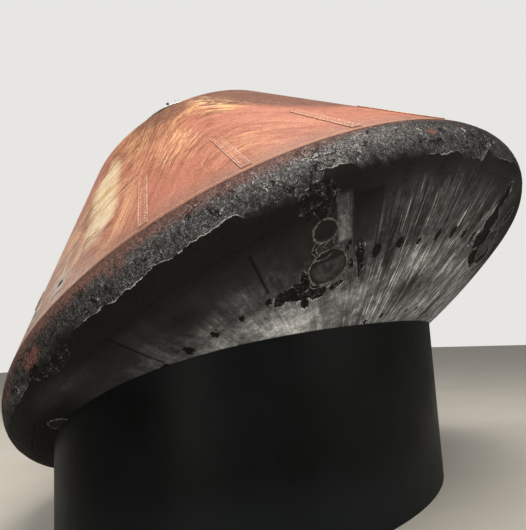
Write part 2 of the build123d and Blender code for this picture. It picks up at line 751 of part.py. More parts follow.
# Latch handle inside the hatch leaf.
HANDLE_HUB_RADIUS = 26.0
HANDLE_DROP = 26.0
HANDLE_INSET = 120.0
HANDLE_LENGTH = 180.0
HANDLE_WIDTH = 24.0
HANDLE_THICKNESS = 18.0
handle_base = hatch_plane.location * Pos(-HANDLE_INSET, -HANDLE_INSET, -CREW_WALL - HANDLE_DROP)
grip = Pos(HANDLE_LENGTH / 3, 0, -HANDLE_DROP / 2) * Box(
    HANDLE_LENGTH, HANDLE_WIDTH, HANDLE_THICKNESS
)
handle = handle_base * (Cylinder(HANDLE_HUB_RADIUS, 2 * HANDLE_DROP) + grip)
write("hatch_handle", [handle - leaf_band])
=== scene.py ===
import itertools
import math

import bmesh
import bpy
import numpy as np
from mathutils import Matrix, Vector


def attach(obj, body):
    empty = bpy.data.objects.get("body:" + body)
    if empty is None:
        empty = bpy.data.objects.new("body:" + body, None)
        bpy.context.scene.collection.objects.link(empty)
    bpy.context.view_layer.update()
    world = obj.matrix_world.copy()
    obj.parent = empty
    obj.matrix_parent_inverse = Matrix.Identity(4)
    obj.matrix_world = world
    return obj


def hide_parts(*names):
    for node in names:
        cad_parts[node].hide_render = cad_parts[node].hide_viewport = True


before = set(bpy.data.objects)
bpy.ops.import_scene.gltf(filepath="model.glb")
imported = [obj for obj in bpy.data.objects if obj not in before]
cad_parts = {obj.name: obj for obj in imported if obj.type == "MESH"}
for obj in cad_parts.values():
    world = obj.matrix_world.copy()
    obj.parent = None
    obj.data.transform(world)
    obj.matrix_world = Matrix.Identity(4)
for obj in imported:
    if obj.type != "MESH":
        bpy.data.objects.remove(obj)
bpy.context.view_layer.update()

# Room: one flat pale floor before a plain backdrop. Four soft lamps light it: one overhead,
# one far to each side, and a low glow before the shield. The camera stands at the height of
# a visitor's chest, close to the raised rim.
CAMERA_PLACE = (3.168, 2.439, 1.156)
CAMERA_HEADING = 217.86
CAMERA_RISE = 7.37
CAMERA_ROLL = -3.16
SENSOR = 36.0
PHOTO_WIDTH, PHOTO_HEIGHT = 526, 530
FOCAL_PIXELS = 508.65
FLOOR_HALF = 20.0
FLOOR_COLOUR = (0.76, 0.72, 0.64)
FLOOR_WORN = (0.82, 0.78, 0.70)
BACKDROP_COLOUR = (0.80, 0.79, 0.77, 1)
ROOM_LIGHT = 0.30
BACKDROP_LIGHT = 1.0
LAMPS = (  # name, place, aim, size, watts, colour
    ("ceiling_soft", (1.5, 1.5, 6.0), (0, 0, 1.4), 5.0, 330.0, (1.0, 0.95, 0.88)),
    ("left_wall_soft", (3.0, -6.5, 4.2), (0.4, -0.6, 1.4), 2.2, 150.0, (1.0, 0.96, 0.9)),
    ("floor_glow", (3.3, 2.3, 0.70), (0.7, 1.0, 1.5), 1.4, 31.0, (1.0, 0.98, 0.93)),
    ("right_fill", (-1.5, 7.0, 2.0), (-0.5, 1.2, 1.2), 3.0, 150.0, (1.0, 0.95, 0.9)),
)

camera = bpy.data.objects.new("visitor_camera", bpy.data.cameras.new("visitor_camera"))
camera.data.sensor_width = SENSOR
camera.data.lens = FOCAL_PIXELS / max(PHOTO_WIDTH, PHOTO_HEIGHT) * SENSOR
camera.matrix_world = (
    Matrix.Translation(CAMERA_PLACE)
    @ Matrix.Rotation(math.radians(CAMERA_HEADING - 90), 4, "Z")
    @ Matrix.Rotation(math.radians(90 + CAMERA_RISE), 4, "X")
    @ Matrix.Rotation(math.radians(CAMERA_ROLL), 4, "Z")
)
bpy.context.scene.collection.objects.link(camera)
bpy.context.scene.camera = camera
bpy.context.scene.view_settings.view_transform = "Standard"

for name, place, aim, size, watts, colour in LAMPS:
    lamp = bpy.data.lights.new(name, "AREA")
    lamp.shape = "DISK"
    lamp.size = size
    lamp.energy = watts
    lamp.color = colour
    lamp_object = bpy.data.objects.new(name, lamp)
    lamp_object.location = place
    lamp_object.rotation_euler = (Vector(aim) - Vector(place)).to_track_quat("-Z", "Y").to_euler()
    bpy.context.scene.collection.objects.link(lamp_object)

world = bpy.data.worlds.new("room")
bpy.context.scene.world = world
world.use_nodes = True
sky, sky_links = world.node_tree.nodes, world.node_tree.links
sky.clear()
ray = sky.new("ShaderNodeLightPath")
sky_choice = sky.new("ShaderNodeMixShader")
sky_out = sky.new("ShaderNodeOutputWorld")
sky_links.new(ray.outputs["Is Camera Ray"], sky_choice.inputs[0])
for socket, strength in ((1, ROOM_LIGHT), (2, BACKDROP_LIGHT)):
    backdrop = sky.new("ShaderNodeBackground")
    backdrop.inputs["Color"].default_value = BACKDROP_COLOUR
    backdrop.inputs["Strength"].default_value = strength
    sky_links.new(backdrop.outputs[0], sky_choice.inputs[socket])
sky_links.new(sky_choice.outputs[0], sky_out.inputs["Surface"])


def sheet_mesh(
    name, points, closed_across=False, closed_along=False, poles=(False, False), uv=None, fields=()
):
    """Surface over one grid of points (along, across, 3), or over several in one mesh. A
    closed direction joins its last row to its first. A pole draws a whole row to its mean
    point, so the surface shuts there. uv gives a single grid's own texture place for each
    corner, with one more column where closed, and fields are (name, number per point),
    which a finish reads by their names."""
    points = points[None] if points.ndim == 3 else points
    count, along, across = points.shape[:3]
    index = np.arange(along * across).reshape(along, across)
    for row, shut in zip((0, -1), poles):
        if shut:
            points[:, row] = points[:, row].mean(axis=1, keepdims=True)
    rows = np.concatenate([index, index[:1]]) if closed_along else index
    grid = np.concatenate([rows, rows[:, :1]], axis=1) if closed_across else rows
    quads = np.stack([grid[:-1, :-1], grid[:-1, 1:], grid[1:, 1:], grid[1:, :-1]], axis=-1)
    firsts = np.arange(count)[:, None, None] * along * across
    corners = (quads.reshape(1, -1, 4) + firsts).reshape(-1, 4)
    mesh = bpy.data.meshes.new(name)
    mesh.from_pydata(points.reshape(-1, 3), [], corners, shade_flat=False)
    if uv is not None:
        texture = np.stack([uv[:-1, :-1], uv[:-1, 1:], uv[1:, 1:], uv[1:, :-1]], axis=-2)
        layer = mesh.uv_layers.new(name="surface")
        layer.uv.foreach_set("vector", texture.reshape(-1).astype(np.float32))
    for field, values in fields:
        whole = np.zeros((along, across))
        whole[: len(values)] = values
        numbers = mesh.attributes.new(field, "FLOAT", "POINT")
        numbers.data.foreach_set("value", whole.reshape(-1).astype(np.float32))
    if any(poles):
        shut_poles(mesh)
    thing = bpy.data.objects.new(name, mesh)
    bpy.context.scene.collection.objects.link(thing)
    return thing


def shut_poles(mesh):
    """Welds the coincident points of a pole row into one."""
    shell = bmesh.new()
    shell.from_mesh(mesh)
    bmesh.ops.remove_doubles(shell, verts=shell.verts, dist=1e-6)
    shell.to_mesh(mesh)
    shell.free()


class Value:
    """Output socket of a finish. Sums, products and the methods below add steps to it."""

    def __init__(self, finish, socket):
        self.finish, self.socket = finish, socket

    def maths(self, operation, other=0.0):
        return self.finish.step("ShaderNodeMath", {0: self, 1: other}, operation=operation)

    def __add__(self, other):
        return self.maths("ADD", other)

    def __sub__(self, other):
        return self.maths("SUBTRACT", other)

    def __rsub__(self, other):
        return self.finish.step("ShaderNodeMath", {0: other, 1: self}, operation="SUBTRACT")

    def __mul__(self, other):
        return self.maths("MULTIPLY", other)

    def __truediv__(self, other):
        return self.maths("DIVIDE", other)

    def __abs__(self):
        return self.maths("ABSOLUTE")

    __radd__ = __add__

    def fade(self, low, high, to_low=0.0, to_high=1.0):
        """Smooth step of the value from low to high."""
        numbers = {"Value": self, "From Min": low, "From Max": high}
        numbers.update({"To Min": to_low, "To Max": to_high})
        return self.finish.step("ShaderNodeMapRange", numbers, interpolation_type="SMOOTHSTEP")

    def spread(self, width=0.17):
        """A noise value, which keeps near its middle, spread over 0 to 1."""
        numbers = {"Value": self, "From Min": 0.5 - width, "From Max": 0.5 + width}
        return self.finish.step("ShaderNodeMapRange", numbers)

    def band(self, centre, half_width, soft=0.25):
        """1 within half_width of a centre, fading out over a share of it."""
        return abs(self - centre).fade(half_width * (1 - soft), half_width * (1 + soft), 1.0, 0.0)

    def ramp(self, stops):
        """Colours along the value, from (place, colour) stops."""
        made = self.finish.steps.new("ShaderNodeValToRGB")
        elements = made.color_ramp.elements
        while len(elements) < len(stops):
            elements.new(0.5)
        for element, (place, colour) in zip(elements, stops):
            element.position = place
            element.color = (*colour, 1)
        self.finish.feed(made.inputs[0], self)
        return Value(self.finish, made.outputs[0])


class Finish:
    """A finish under way: every call adds one step and returns its output as a Value. Noise
    scales count per metre, and shares of a mix run from 0 to 1."""

    def __init__(self, name, **fixed):
        self.material = bpy.data.materials.new(name)
        self.material.use_nodes = True
        self.steps = self.material.node_tree.nodes
        self.joins = self.material.node_tree.links
        self.shader = self.steps["Principled BSDF"]
        for socket, number in fixed.items():
            self.shader.inputs[socket.replace("_", " ")].default_value = number

    def feed(self, socket, value):
        """Joins a socket to a Value, or writes a plain number or colour into it."""
        if isinstance(value, Value):
            self.joins.new(value.socket, socket)
        elif socket.type == "RGBA":
            socket.default_value = (*value[:3], 1)
        else:
            socket.default_value = value

    def step(self, kind, inputs, output=0, **settings):
        """One node of the kind, its settings and numbered or named inputs given."""
        made = self.steps.new(kind)
        for key, value in settings.items():
            setattr(made, key, value)
        for key, value in inputs.items():
            self.feed(made.inputs[key], value)
        return Value(self, made.outputs[output])

    def noise(self, place, scale, detail=4.0, roughness=0.55, distortion=0.0):
        numbers = {"Vector": place, "Scale": scale, "Detail": detail}
        numbers.update({"Roughness": roughness, "Distortion": distortion})
        return self.step("ShaderNodeTexNoise", numbers)

    def strokes(self, across, along, width, length, detail=3.0, distortion=0.5):
        """Noise drawn out into strokes of about a width and length."""
        place = self.step("ShaderNodeCombineXYZ", {0: across / width, 1: along / length})
        return self.noise(place, 1.0, detail, 0.6, distortion)

    def field(self, name):
        return self.step("ShaderNodeAttribute", {}, output="Fac", attribute_name=name)

    def mix(self, share, a, b, kind="MIX"):
        """Colour a with a share of colour b laid over it."""
        return self.step("ShaderNodeMix", {0: share, 6: a, 7: b}, 2, data_type="RGBA", blend_type=kind)

    def own_place(self):
        return self.step("ShaderNodeTexCoord", {}, output="Object")

    def axis(self, place, number):
        return self.step("ShaderNodeSeparateXYZ", {0: place}, number)

    def round_place(self):
        """Place in the capsule's frame, with the angle in degrees, radius and height round it."""
        numbers = {"Vector": self.own_place(), "Location": SHIELD_FOOT, "Rotation": (TILT, 0, 0)}
        place = self.step("ShaderNodeMapping", numbers, vector_type="TEXTURE")
        x, y, z = [self.axis(place, number) for number in range(3)]
        return place, y.maths("ARCTAN2", x) * math.degrees(1), (x * x + y * y).maths("SQRT"), z

    def ovals(self, angle, level, rows):
        """Strongest of the soft-edged ovals (angle, level, half angle, half level, amount)."""
        most = 0.0
        for centre, middle, half_angle, half_level, amount in rows:
            u = (angle - centre) / half_angle
            v = (level - middle) / half_level
            most = (u * u + v * v).fade(2.0, 0.1, 0.0, amount).maths("MAXIMUM", most)
        return most

    def relief(self, height, depth, strength=1.0):
        """Bump from a height of 0 to 1 that stands for a depth in metres."""
        numbers = {"Height": height, "Distance": depth, "Strength": strength}
        self.feed(self.shader.inputs["Normal"], self.step("ShaderNodeBump", numbers))

    def wear(self, colour, roughness=None):
        """The finished material, with its colour and perhaps its roughness worked out."""
        self.feed(self.shader.inputs["Base Color"], colour)
        if roughness is not None:
            self.feed(self.shader.inputs["Roughness"], roughness)
        return self.material


def clouded(name, scale, detail, stops, relief=None, coarse=0.55, **fixed):
    """A plain finish: colours along one cloud of noise, which may stand in relief too."""
    finish = Finish(name, **fixed)
    cloud = finish.noise(finish.own_place(), scale, detail, coarse)
    if relief:
        finish.relief(cloud, *relief)
    return finish.wear(cloud.ramp(stops))


floor_y, floor_x = np.meshgrid((-FLOOR_HALF, FLOOR_HALF), (-FLOOR_HALF, FLOOR_HALF), indexing="ij")
floor = sheet_mesh("floor", np.stack([floor_x, floor_y, 0 * floor_x], axis=-1))
floor.data.materials.append(
    clouded("floor_screed", 1.3, 5.0, [(0.3, FLOOR_COLOUR), (0.75, FLOOR_WORN)], Roughness=0.55)
)

# Plinth: a timber drum with an oval foot, filled, sanded and sprayed near-black, its top
# scribed to the shield. It only rests on the floor.
PLINTH_BLACK = (0.0014, 0.0018, 0.0018)
PLINTH_SCUFF = (0.0040, 0.0055, 0.0055)
# Lighter colour for the plinth's lower part: painted light, a pool of lamplight below the capsule's
# shadow.
PLINTH_PAINTED_LIGHT = (0.0110, 0.0140, 0.0145)


def dress(material, *names):
    """Gives a finish to the CAD nodes of these names."""
    for name in names:
        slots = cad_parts[name].data.materials
        slots.clear()
        slots.append(material)


plinth_finish = Finish("plinth_paint", Specular_IOR_Level=0.05)
plinth_cloud = plinth_finish.noise(plinth_finish.own_place(), 3.0, 6.0, 0.6)
plinth_grain = plinth_finish.noise(plinth_finish.own_place(), 260.0, 2.0)
plinth_rise = plinth_finish.axis(plinth_finish.own_place(), 2)
plinth_colour = plinth_cloud.ramp([(0.35, PLINTH_BLACK), (0.8, PLINTH_SCUFF)])
# Painted light: the plinth turns lighter towards its foot.
plinth_colour = plinth_finish.mix(plinth_rise.fade(0.5, 0.12, 0.0, 0.55), plinth_colour, PLINTH_PAINTED_LIGHT)
plinth_finish.relief(plinth_grain, 0.0006, 0.5)
dress(plinth_finish.wear(plinth_colour, plinth_cloud.fade(0.3, 0.8, 0.42, 0.56)), "plinth")

# Aft heat shield and its rounded rim: a honeycomb filled with ablator, charred all over.
# Above the tear that runs round the rim the char stands open-celled, below it the outer
# layer has gone. Patches where more has broken away, and paler or darker reaches, partly
# painted light and shade, are listed by their angle and their length along the skin from the
# middle of the dish.
#
# The capsule leans by its tilt about X, and the shield's lowest point stands over the plinth.
# Angles run round its axis from +X to the raised side, heights along it.
TILT = math.radians(30.65)
SHIELD_FOOT = (0.0, 0.43032, 0.68010)
MAX_RADIUS = 1.956
SPHERE_RADIUS = 2.4 * MAX_RADIUS
CORNER_RADIUS = 0.1 * MAX_RADIUS
CONE_ANGLE = math.radians(33.0)
EDGE_HEIGHT = 1.0787 * MAX_RADIUS
PANEL_JOINT = 0.6033 * MAX_RADIUS
CORNER_CENTRE_R = MAX_RADIUS - CORNER_RADIUS
CORNER_CENTRE_Z = SPHERE_RADIUS - math.sqrt(
    (SPHERE_RADIUS - CORNER_RADIUS) ** 2 - CORNER_CENTRE_R**2
)
SPHERE_END = math.atan2(CORNER_CENTRE_R, SPHERE_RADIUS - CORNER_CENTRE_Z)
CONE_START_R = CORNER_CENTRE_R + CORNER_RADIUS * math.cos(CONE_ANGLE)
CONE_START_Z = CORNER_CENTRE_Z + CORNER_RADIUS * math.sin(CONE_ANGLE)
CORNER_SWEEP = math.pi / 2 - SPHERE_END + CONE_ANGLE
DISH_LENGTH = SPHERE_RADIUS * SPHERE_END
PATCHES = (  # angle, length along the skin, half across, half along, turn
    (34.6, 1.48, 0.06, 0.04, 20.0), (38.6, 1.45, 0.085, 0.055, -6.0),
    (38.2, 1.36, 0.03, 0.05, 0.0), (41.6, 1.4, 0.055, 0.05, 0.0),
    (45.6, 1.392, 0.045, 0.02, 20.0), (39.6, 1.55, 0.024, 0.06, 8.0),
    (48.4, 1.625, 0.02, 0.038, -30.0), (49.3, 1.5, 0.018, 0.03, 0.0),
    (51.3, 1.48, 0.03, 0.12, 6.0), (42.6, 1.925, 0.07, 0.055, 0.0),
    (44.8, 1.965, 0.065, 0.05, 0.0), (43.2, 1.868, 0.06, 0.03, 0.0),
    (93.4, 1.76, 0.055, 0.125, 8.0), (95.4, 1.64, 0.085, 0.105, 8.0),
    (96.6, 1.53, 0.135, 0.09, 10.0), (102.0, 1.43, 0.13, 0.07, -8.0),
    (110.0, 1.5, 0.12, 0.08, 0.0), (120.0, 1.66, 0.1, 0.045, 0.0), (133.0, 1.54, 0.12, 0.06, 0.0),
    (151.0, 1.68, 0.09, 0.08, 15.0), (172.0, 1.84, 0.16, 0.06, 0.0),
    (0.5, 1.985, 0.12, 0.035, 0.0), (-4.0, 2.03, 0.07, 0.03, 0.0), (222.0, 1.9, 0.17, 0.05, 0.0),
    (262.0, 1.96, 0.2, 0.05, 0.0), (301.0, 1.9, 0.12, 0.06, 0.0),
)
# Paler or darker reaches, partly the char's own tone and partly painted light and shade: paler on the
# rim round 46 degrees where the lamps fall on it, darker round 88 degrees where it turns from them.
TONE_AND_LIGHT_REACHES = (  # angle, length along the skin, half angle, half length, paler (+) or darker (-)
    (18.5, 1.69, 4.0, 0.08, -0.14), (12.0, 1.66, 6.0, 0.06, 0.14), (20.0, 1.56, 9.0, 0.05, 0.1),
    (-1.0, 1.85, 5.0, 0.06, 0.16), (30.5, 1.64, 5.0, 0.06, 0.08), (74.0, 1.76, 26.0, 0.23, 0.22),
    (64.0, 1.86, 12.0, 0.07, 0.11), (97.0, 1.88, 6.0, 0.08, 0.22), (71.0, 2.09, 5.0, 0.06, 0.08),
    (72.0, 1.42, 8.0, 0.11, 0.16), (60.0, 1.14, 9.0, 0.1, -0.02), (67.0, 1.75, 6.0, 0.07, 0.12),
    (76.0, 1.12, 9.0, 0.12, -0.24), (62.0, 1.64, 3.0, 0.14, -0.1), (84.0, 1.56, 5.0, 0.14, 0.1),
    (90.8, 1.64, 1.6, 0.11, 0.3), (-8.0, 1.9, 7.0, 0.06, 0.2), (-22.0, 1.74, 12.0, 0.2, -0.35),
    (46.0, 2.15, 21.0, 0.11, 0.33), (62.0, 2.14, 12.0, 0.09, 0.03),
    (18.0, 2.13, 10.0, 0.08, 0.16), (88.0, 2.06, 8.0, 0.1, -0.16), (140.0, 1.5, 14.0, 0.3, 0.1),
    (185.0, 1.6, 22.0, 0.26, -0.2), (240.0, 1.7, 18.0, 0.24, 0.15),
    (300.0, 1.65, 26.0, 0.26, -0.2), (170.0, 2.12, 30.0, 0.1, 0.15),
    (250.0, 2.12, 40.0, 0.1, 0.12),
)
BLOCKS = (  # first angle, last angle, first length, last length, paler (+) or darker (-)
    (46.5, 49.1, 1.67, 1.925, 0.34), (49.3, 54.5, 1.6, 1.905, -0.12),
    (54.5, 57.6, 1.43, 1.64, -0.06), (57.6, 64.0, 1.43, 1.8, 0.06),
    (33.0, 36.2, 1.56, 1.83, 0.05), (9.3, 15.0, 1.7, 1.86, 0.07), (128.0, 140.0, 1.5, 1.8, -0.1),
    (210.0, 221.0, 1.4, 1.75, 0.1), (282.0, 290.0, 1.5, 1.85, 0.12),
)
# The dish is paler near its middle and dark towards the rim: partly its own tone, partly painted light
# from the floor's bounce near the plinth and painted shade under the rim.
PALE_NEAR = (1.28, 0.70)  # length from the middle of the dish, tone there
PALE_FAR = (1.88, 0.00)
REDS = (  # angle, length along the skin, half angle, half length, how red
    (-2.5, 2.09, 3.6, 0.06, 1.1), (5.0, 2.19, 12.0, 0.04, 0.9), (16.8, 2.13, 2.6, 0.06, 0.85),
    (21.5, 2.15, 3.0, 0.04, 0.7), (12.5, 2.18, 4.0, 0.03, 0.8), (64.8, 2.105, 0.9, 0.026, 1.5),
    (75.0, 2.14, 4.0, 0.03, 0.6), (35.0, 1.76, 1.6, 0.025, 0.35), (-14.0, 2.11, 6.0, 0.06, 0.8),
    (196.0, 2.15, 14.0, 0.06, 0.8), (250.0, 2.17, 30.0, 0.05, 0.8),
    (150.0, 2.18, 20.0, 0.04, 0.7),
)
SEAMS = (  # first angle, last angle, first length, last length
    (32.45, 32.7, 1.565, 1.835), (30.6, 35.8, 1.833, 1.838), (9.2, 9.4, 1.56, 1.9),
    (62.0, 62.2, 1.2, 1.42),
)
TEAR = (  # angle, length along the skin, how pale the torn edge stands there
    (-24.0, 2.03, 0.0), (-7.0, 2.02, 0.8), (-2.0, 2.02, 0.0), (6.0, 2.026, 0.0), (8.0, 2.03, 1.0),
    (19.0, 2.012, 1.0), (21.7, 2.034, 1.0), (25.3, 2.018, 1.0), (33.6, 2.04, 1.0),
    (34.4, 2.01, 0.0), (38.0, 1.985, 0.0), (45.0, 1.99, 0.0), (46.0, 2.046, 1.0),
    (49.8, 2.053, 1.0), (51.0, 2.01, 0.0), (62.0, 1.988, 0.0), (63.0, 1.988, 1.0),
    (69.2, 1.995, 1.0), (70.5, 1.96, 0.0), (75.8, 1.958, 1.0), (78.0, 2.018, 1.0),
    (79.0, 1.99, 0.0), (84.0, 1.982, 1.0), (89.0, 1.997, 0.6), (110.0, 2.03, 0.0),
    (128.0, 2.0, 1.0), (150.0, 2.04, 0.0), (196.0, 1.99, 1.0), (214.0, 2.03, 0.5),
    (240.0, 2.05, 0.0), (270.0, 2.01, 1.0), (285.0, 2.0, 0.0), (330.0, 2.035, 0.0),
)
DISH_INNER_ROWS = 8
DISH_OUTER_ROWS = 108
DISH_FINE_FROM = 0.86
RIM_ROWS = 50
BACK_ROWS = 8
DISH_COLUMNS = (560, 200)
RIM_COLUMNS = (1080, 440)
SKIN_DEPTH = 0.05
LEAST_SINK = 0.0005  # depths of the char's relief
CHAR_HILLS = 0.0012
CHAR_PITS = 0.0024
PATCH_DEPTH = 0.0040
PATCH_STEEPNESS = 6.0
TEAR_SOFT = 0.006  # lengths over which the relief changes at the tear and near a tie pad
PAD_CALM = 0.025
FINE_SIDE = (-35.0, 145.0)  # the side that faces visitors
PAD_FIRST_ANGLE = 44.3
PAD_STATIONS = 6
PAD_ROWS = ((1.520, 0.100), (1.742, 0.058))
UNDER_PADS = 0.008


def stand(points):
    """Points of the capsule's own frame carried to where it stands."""
    x, y, z = points[..., 0], points[..., 1], points[..., 2]
    lean, rise = math.cos(TILT), math.sin(TILT)
    return np.stack([x, y * lean - z * rise, y * rise + z * lean], axis=-1) + SHIELD_FOOT


def turned_grid(radius, height, angles):
    """Grid of points: an outline of radius and height carried round the axis."""
    radius, height = radius[:, None], height[:, None]
    return np.stack(
        [radius * np.cos(angles), radius * np.sin(angles), height + 0 * angles], axis=-1
    )


def rough(points, size, octaves=4, seed=0):
    """Hilly noise between about -1 and 1: lattice heights blended smoothly, each finer
    octave half as wide and half as high."""
    draw = np.random.default_rng(seed)
    shuffle = draw.permutation(256)
    heights = draw.uniform(-1, 1, 256)
    total = np.zeros(points.shape[:-1])
    for octave in range(octaves):
        place = points * (2.0**octave / size) + 17.3 * octave
        cell = np.floor(place).astype(int)
        part = place - cell
        part = part * part * (3 - 2 * part)
        level = np.zeros_like(total)
        for corner in itertools.product((0, 1), repeat=3):
            key, weight = 0, 1.0
            for axis, step in enumerate(corner):
                key = shuffle[(key + cell[..., axis] + step) & 255]
                weight = weight * (part[..., axis] if step else 1 - part[..., axis])
            level += weight * heights[key]
        total += level * 0.5**octave
    return total


def skin_angles(fine_count, coarse_count):
    """Angles round the capsule, closer together on the side that faces visitors."""
    low, high = np.radians(FINE_SIDE)
    fine = np.linspace(low, high, fine_count, endpoint=False)
    return np.concatenate([fine, np.linspace(high, low + 2 * math.pi, coarse_count, endpoint=False)])


def shield_outline(along):
    """Radius, height and outward slope at a length along the shield's skin from its pole:
    a part of the sphere, then the rounded corner up to the cone."""
    on_dish = along < DISH_LENGTH
    lean = along / SPHERE_RADIUS
    turn = SPHERE_END - math.pi / 2 + (along - DISH_LENGTH) / CORNER_RADIUS
    normal_r = np.where(on_dish, np.sin(lean), np.cos(turn))
    normal_z = np.where(on_dish, -np.cos(lean), np.sin(turn))
    size = np.where(on_dish, SPHERE_RADIUS, CORNER_RADIUS)
    radius = np.where(on_dish, 0.0, CORNER_CENTRE_R) + size * normal_r
    height = np.where(on_dish, SPHERE_RADIUS, CORNER_CENTRE_Z) + size * normal_z
    return radius, height, normal_r, normal_z


def off_angle(degrees, centre):
    """Degrees past a centre, from -180 to 180."""
    return (degrees - centre + 180) % 360 - 180


def tear_line(degrees, ring):
    """Length along the skin at which the tear runs, and how pale its edge stands."""
    angle, length, shown = np.array(TEAR).T
    wander = rough(ring, 0.09, 5, 21) * 0.011 + rough(ring, 0.022, 3, 22) * 0.005
    line = np.interp(degrees, angle, length, period=360)
    return line + wander, np.interp(degrees, angle, shown, period=360)


def lost_char(points, degrees, along):
    """How far a point lies inside a patch of lost char: over 0 inside, to -1 far outside."""
    ragged = rough(points, 0.10, 5, 5) * 0.75 + rough(points, 0.025, 3, 6) * 0.25
    inside = np.full(points.shape[:-1], -1.0)
    for centre, middle, across, half, turn in PATCHES:
        side = np.radians(off_angle(degrees, centre)) * middle
        out = along - middle
        cos_turn, sin_turn = math.cos(math.radians(turn)), math.sin(math.radians(turn))
        u = (side * cos_turn + out * sin_turn) / across
        v = (out * cos_turn - side * sin_turn) / half
        inside = np.maximum(inside, 1.0 - np.hypot(u, v) + ragged * 0.55)
    return np.clip(inside, -1, 1)


def reaches(rows, degrees, along):
    """Sum of soft-edged oval reaches: amount times exp(-(u^2 + v^2)^1.5)."""
    total = np.zeros(np.broadcast(degrees, along).shape)
    for centre, middle, half_angle, half_length, amount in rows:
        u = off_angle(degrees, centre) / half_angle
        v = (along - middle) / half_length
        total += amount * np.exp(-((u * u + v * v) ** 1.5))
    return total


def base_tone(degrees, along):
    """How pale the dish is: paler towards its middle, which is partly painted light from the
    floor's bounce near the plinth, and darker out towards the rim, which is partly painted
    shade under the rim; with soft reaches and whole blocks.
    """
    (near, pale), (far, dark) = PALE_NEAR, PALE_FAR
    share = np.clip((along - near) / (far - near), 0, 1)
    tone = pale + (dark - pale) * share + reaches(TONE_AND_LIGHT_REACHES, degrees, along)
    for first, last, low, high, amount in BLOCKS:
        soft = 1 / (1 + np.exp(-np.clip((along - low) * (high - along) * 900, -50, 50)))
        tone = tone + amount * soft * (degrees > first) * (degrees < last)
    return tone


def seam_depth(degrees, along):
    """1 on a seam between blocks of the dish, 0 off it."""
    on_seam = 0.0
    for first, last, low, high in SEAMS:
        round_it = (degrees > first) * (degrees < last)
        on_seam = np.maximum(on_seam, round_it * (along > low) * (along < high))
    return on_seam


def pad_gap(points):
    """Distance from a point to the edge of the nearest tie pad, less than 0 on the pad."""
    gap = np.full(points.shape[:-1], 1.0)
    for station in range(PAD_STATIONS):
        turn = math.radians(PAD_FIRST_ANGLE + 360 / PAD_STATIONS * station)
        for reach, pad_radius in PAD_ROWS:
            x, y = reach * math.cos(turn), reach * math.sin(turn)
            away = np.hypot(points[..., 0] - x, points[..., 1] - y)
            gap = np.minimum(gap, away - pad_radius)
    return gap


def charred_skin(name, along, angles, closed_profile):
    """Closed skin of revolution over part of the shield. Its outer face sinks by noise of
    two sizes, below the tear and in each patch, and a plain face lies behind it."""
    radius, height, normal_r, normal_z = shield_outline(along)
    outer = turned_grid(radius, height, angles)
    normal = turned_grid(normal_r, normal_z, angles)
    degrees, length = np.degrees(angles)[None, :], along[:, None]
    ring = turned_grid(np.full(1, CORNER_CENTRE_R), np.full(1, CORNER_CENTRE_Z), angles)
    line, torn = tear_line(degrees, ring)
    above_tear = length - line
    lost = lost_char(outer, degrees, length)
    open_char = 1 / (1 + np.exp(-above_tear / TEAR_SOFT))
    fine = rough(outer, 0.022, 3, 1) * 0.5 + 0.5
    broad = rough(outer, 0.14, 4, 2) * 0.5 + 0.5
    sunk = LEAST_SINK + CHAR_HILLS * broad + open_char * CHAR_PITS * fine
    sunk += (1 - open_char) * np.clip(-above_tear / 0.01, 0, 1) * CHAR_PITS
    sunk += np.clip(lost * PATCH_STEEPNESS, 0, 1) * PATCH_DEPTH * (1 + fine)
    gap = pad_gap(outer)
    sunk *= np.clip(gap / PAD_CALM, 0, 1)
    sunk += UNDER_PADS * np.clip((0.004 - gap) / 0.010, 0, 1)
    skin = outer - normal * sunk[..., None]
    back_rows = np.linspace(len(along) - 1, 0, 2 if closed_profile else BACK_ROWS).astype(int)
    back = outer[back_rows] - normal[back_rows] * SKIN_DEPTH
    points = np.concatenate([skin, back])
    lengths = np.concatenate([along, along[-1] + SKIN_DEPTH * np.arange(1, len(back) + 1)])
    rows = np.append(lengths, lengths[-1] + SKIN_DEPTH) if closed_profile else lengths
    columns = np.append(angles, angles[0] + 2 * math.pi) * MAX_RADIUS
    uv = np.stack(np.broadcast_arrays(columns[None, :], rows[:, None]), axis=-1)
    fields = (
        ("above_tear", above_tear),
        ("lost", lost),
        ("tone", base_tone(degrees, length)),
        ("red", reaches(REDS, degrees, length)),
        ("seam", seam_depth(degrees, length)),
        ("torn", torn + 0 * length),
    )
    poles = (not closed_profile, not closed_profile)
    return sheet_mesh(name, stand(points), True, closed_profile, poles, uv, fields)


# Char finish: tone by the fields above, streaks along the flow, ablator plugs in rings whose
# fill has burnt out, and the pale broken edge of the tear.
CHAR_TONES = (  # tone, colour
    (-0.20, (0.0028, 0.0027, 0.0022)), (0.00, (0.0045, 0.0043, 0.0036)),
    (0.25, (0.0165, 0.0165, 0.0156)), (0.50, (0.0505, 0.0512, 0.0508)),
    (0.75, (0.1430, 0.1460, 0.1460)), (1.00, (0.4000, 0.4050, 0.4000)),
    (1.13, (0.6600, 0.6600, 0.6400)),
)
RIM_TONE = -0.28  # open cells where all noises on them are at their lowest
RIM_TINT = (1.0, 0.945, 0.955)
CHAR_RED = (0.150, 0.050, 0.034)
CHAR_SALMON = (0.34, 0.16, 0.12)
PLUG_RED = (0.022, 0.006, 0.005)
PLUG_FIRST = 43.4
PLUG_RINGS = (  # radius of the ring, number of plugs, size of a plug
    (1.49, 62, 0.025), (0.932, 46, 0.013), (1.785, 84, 0.004),
)


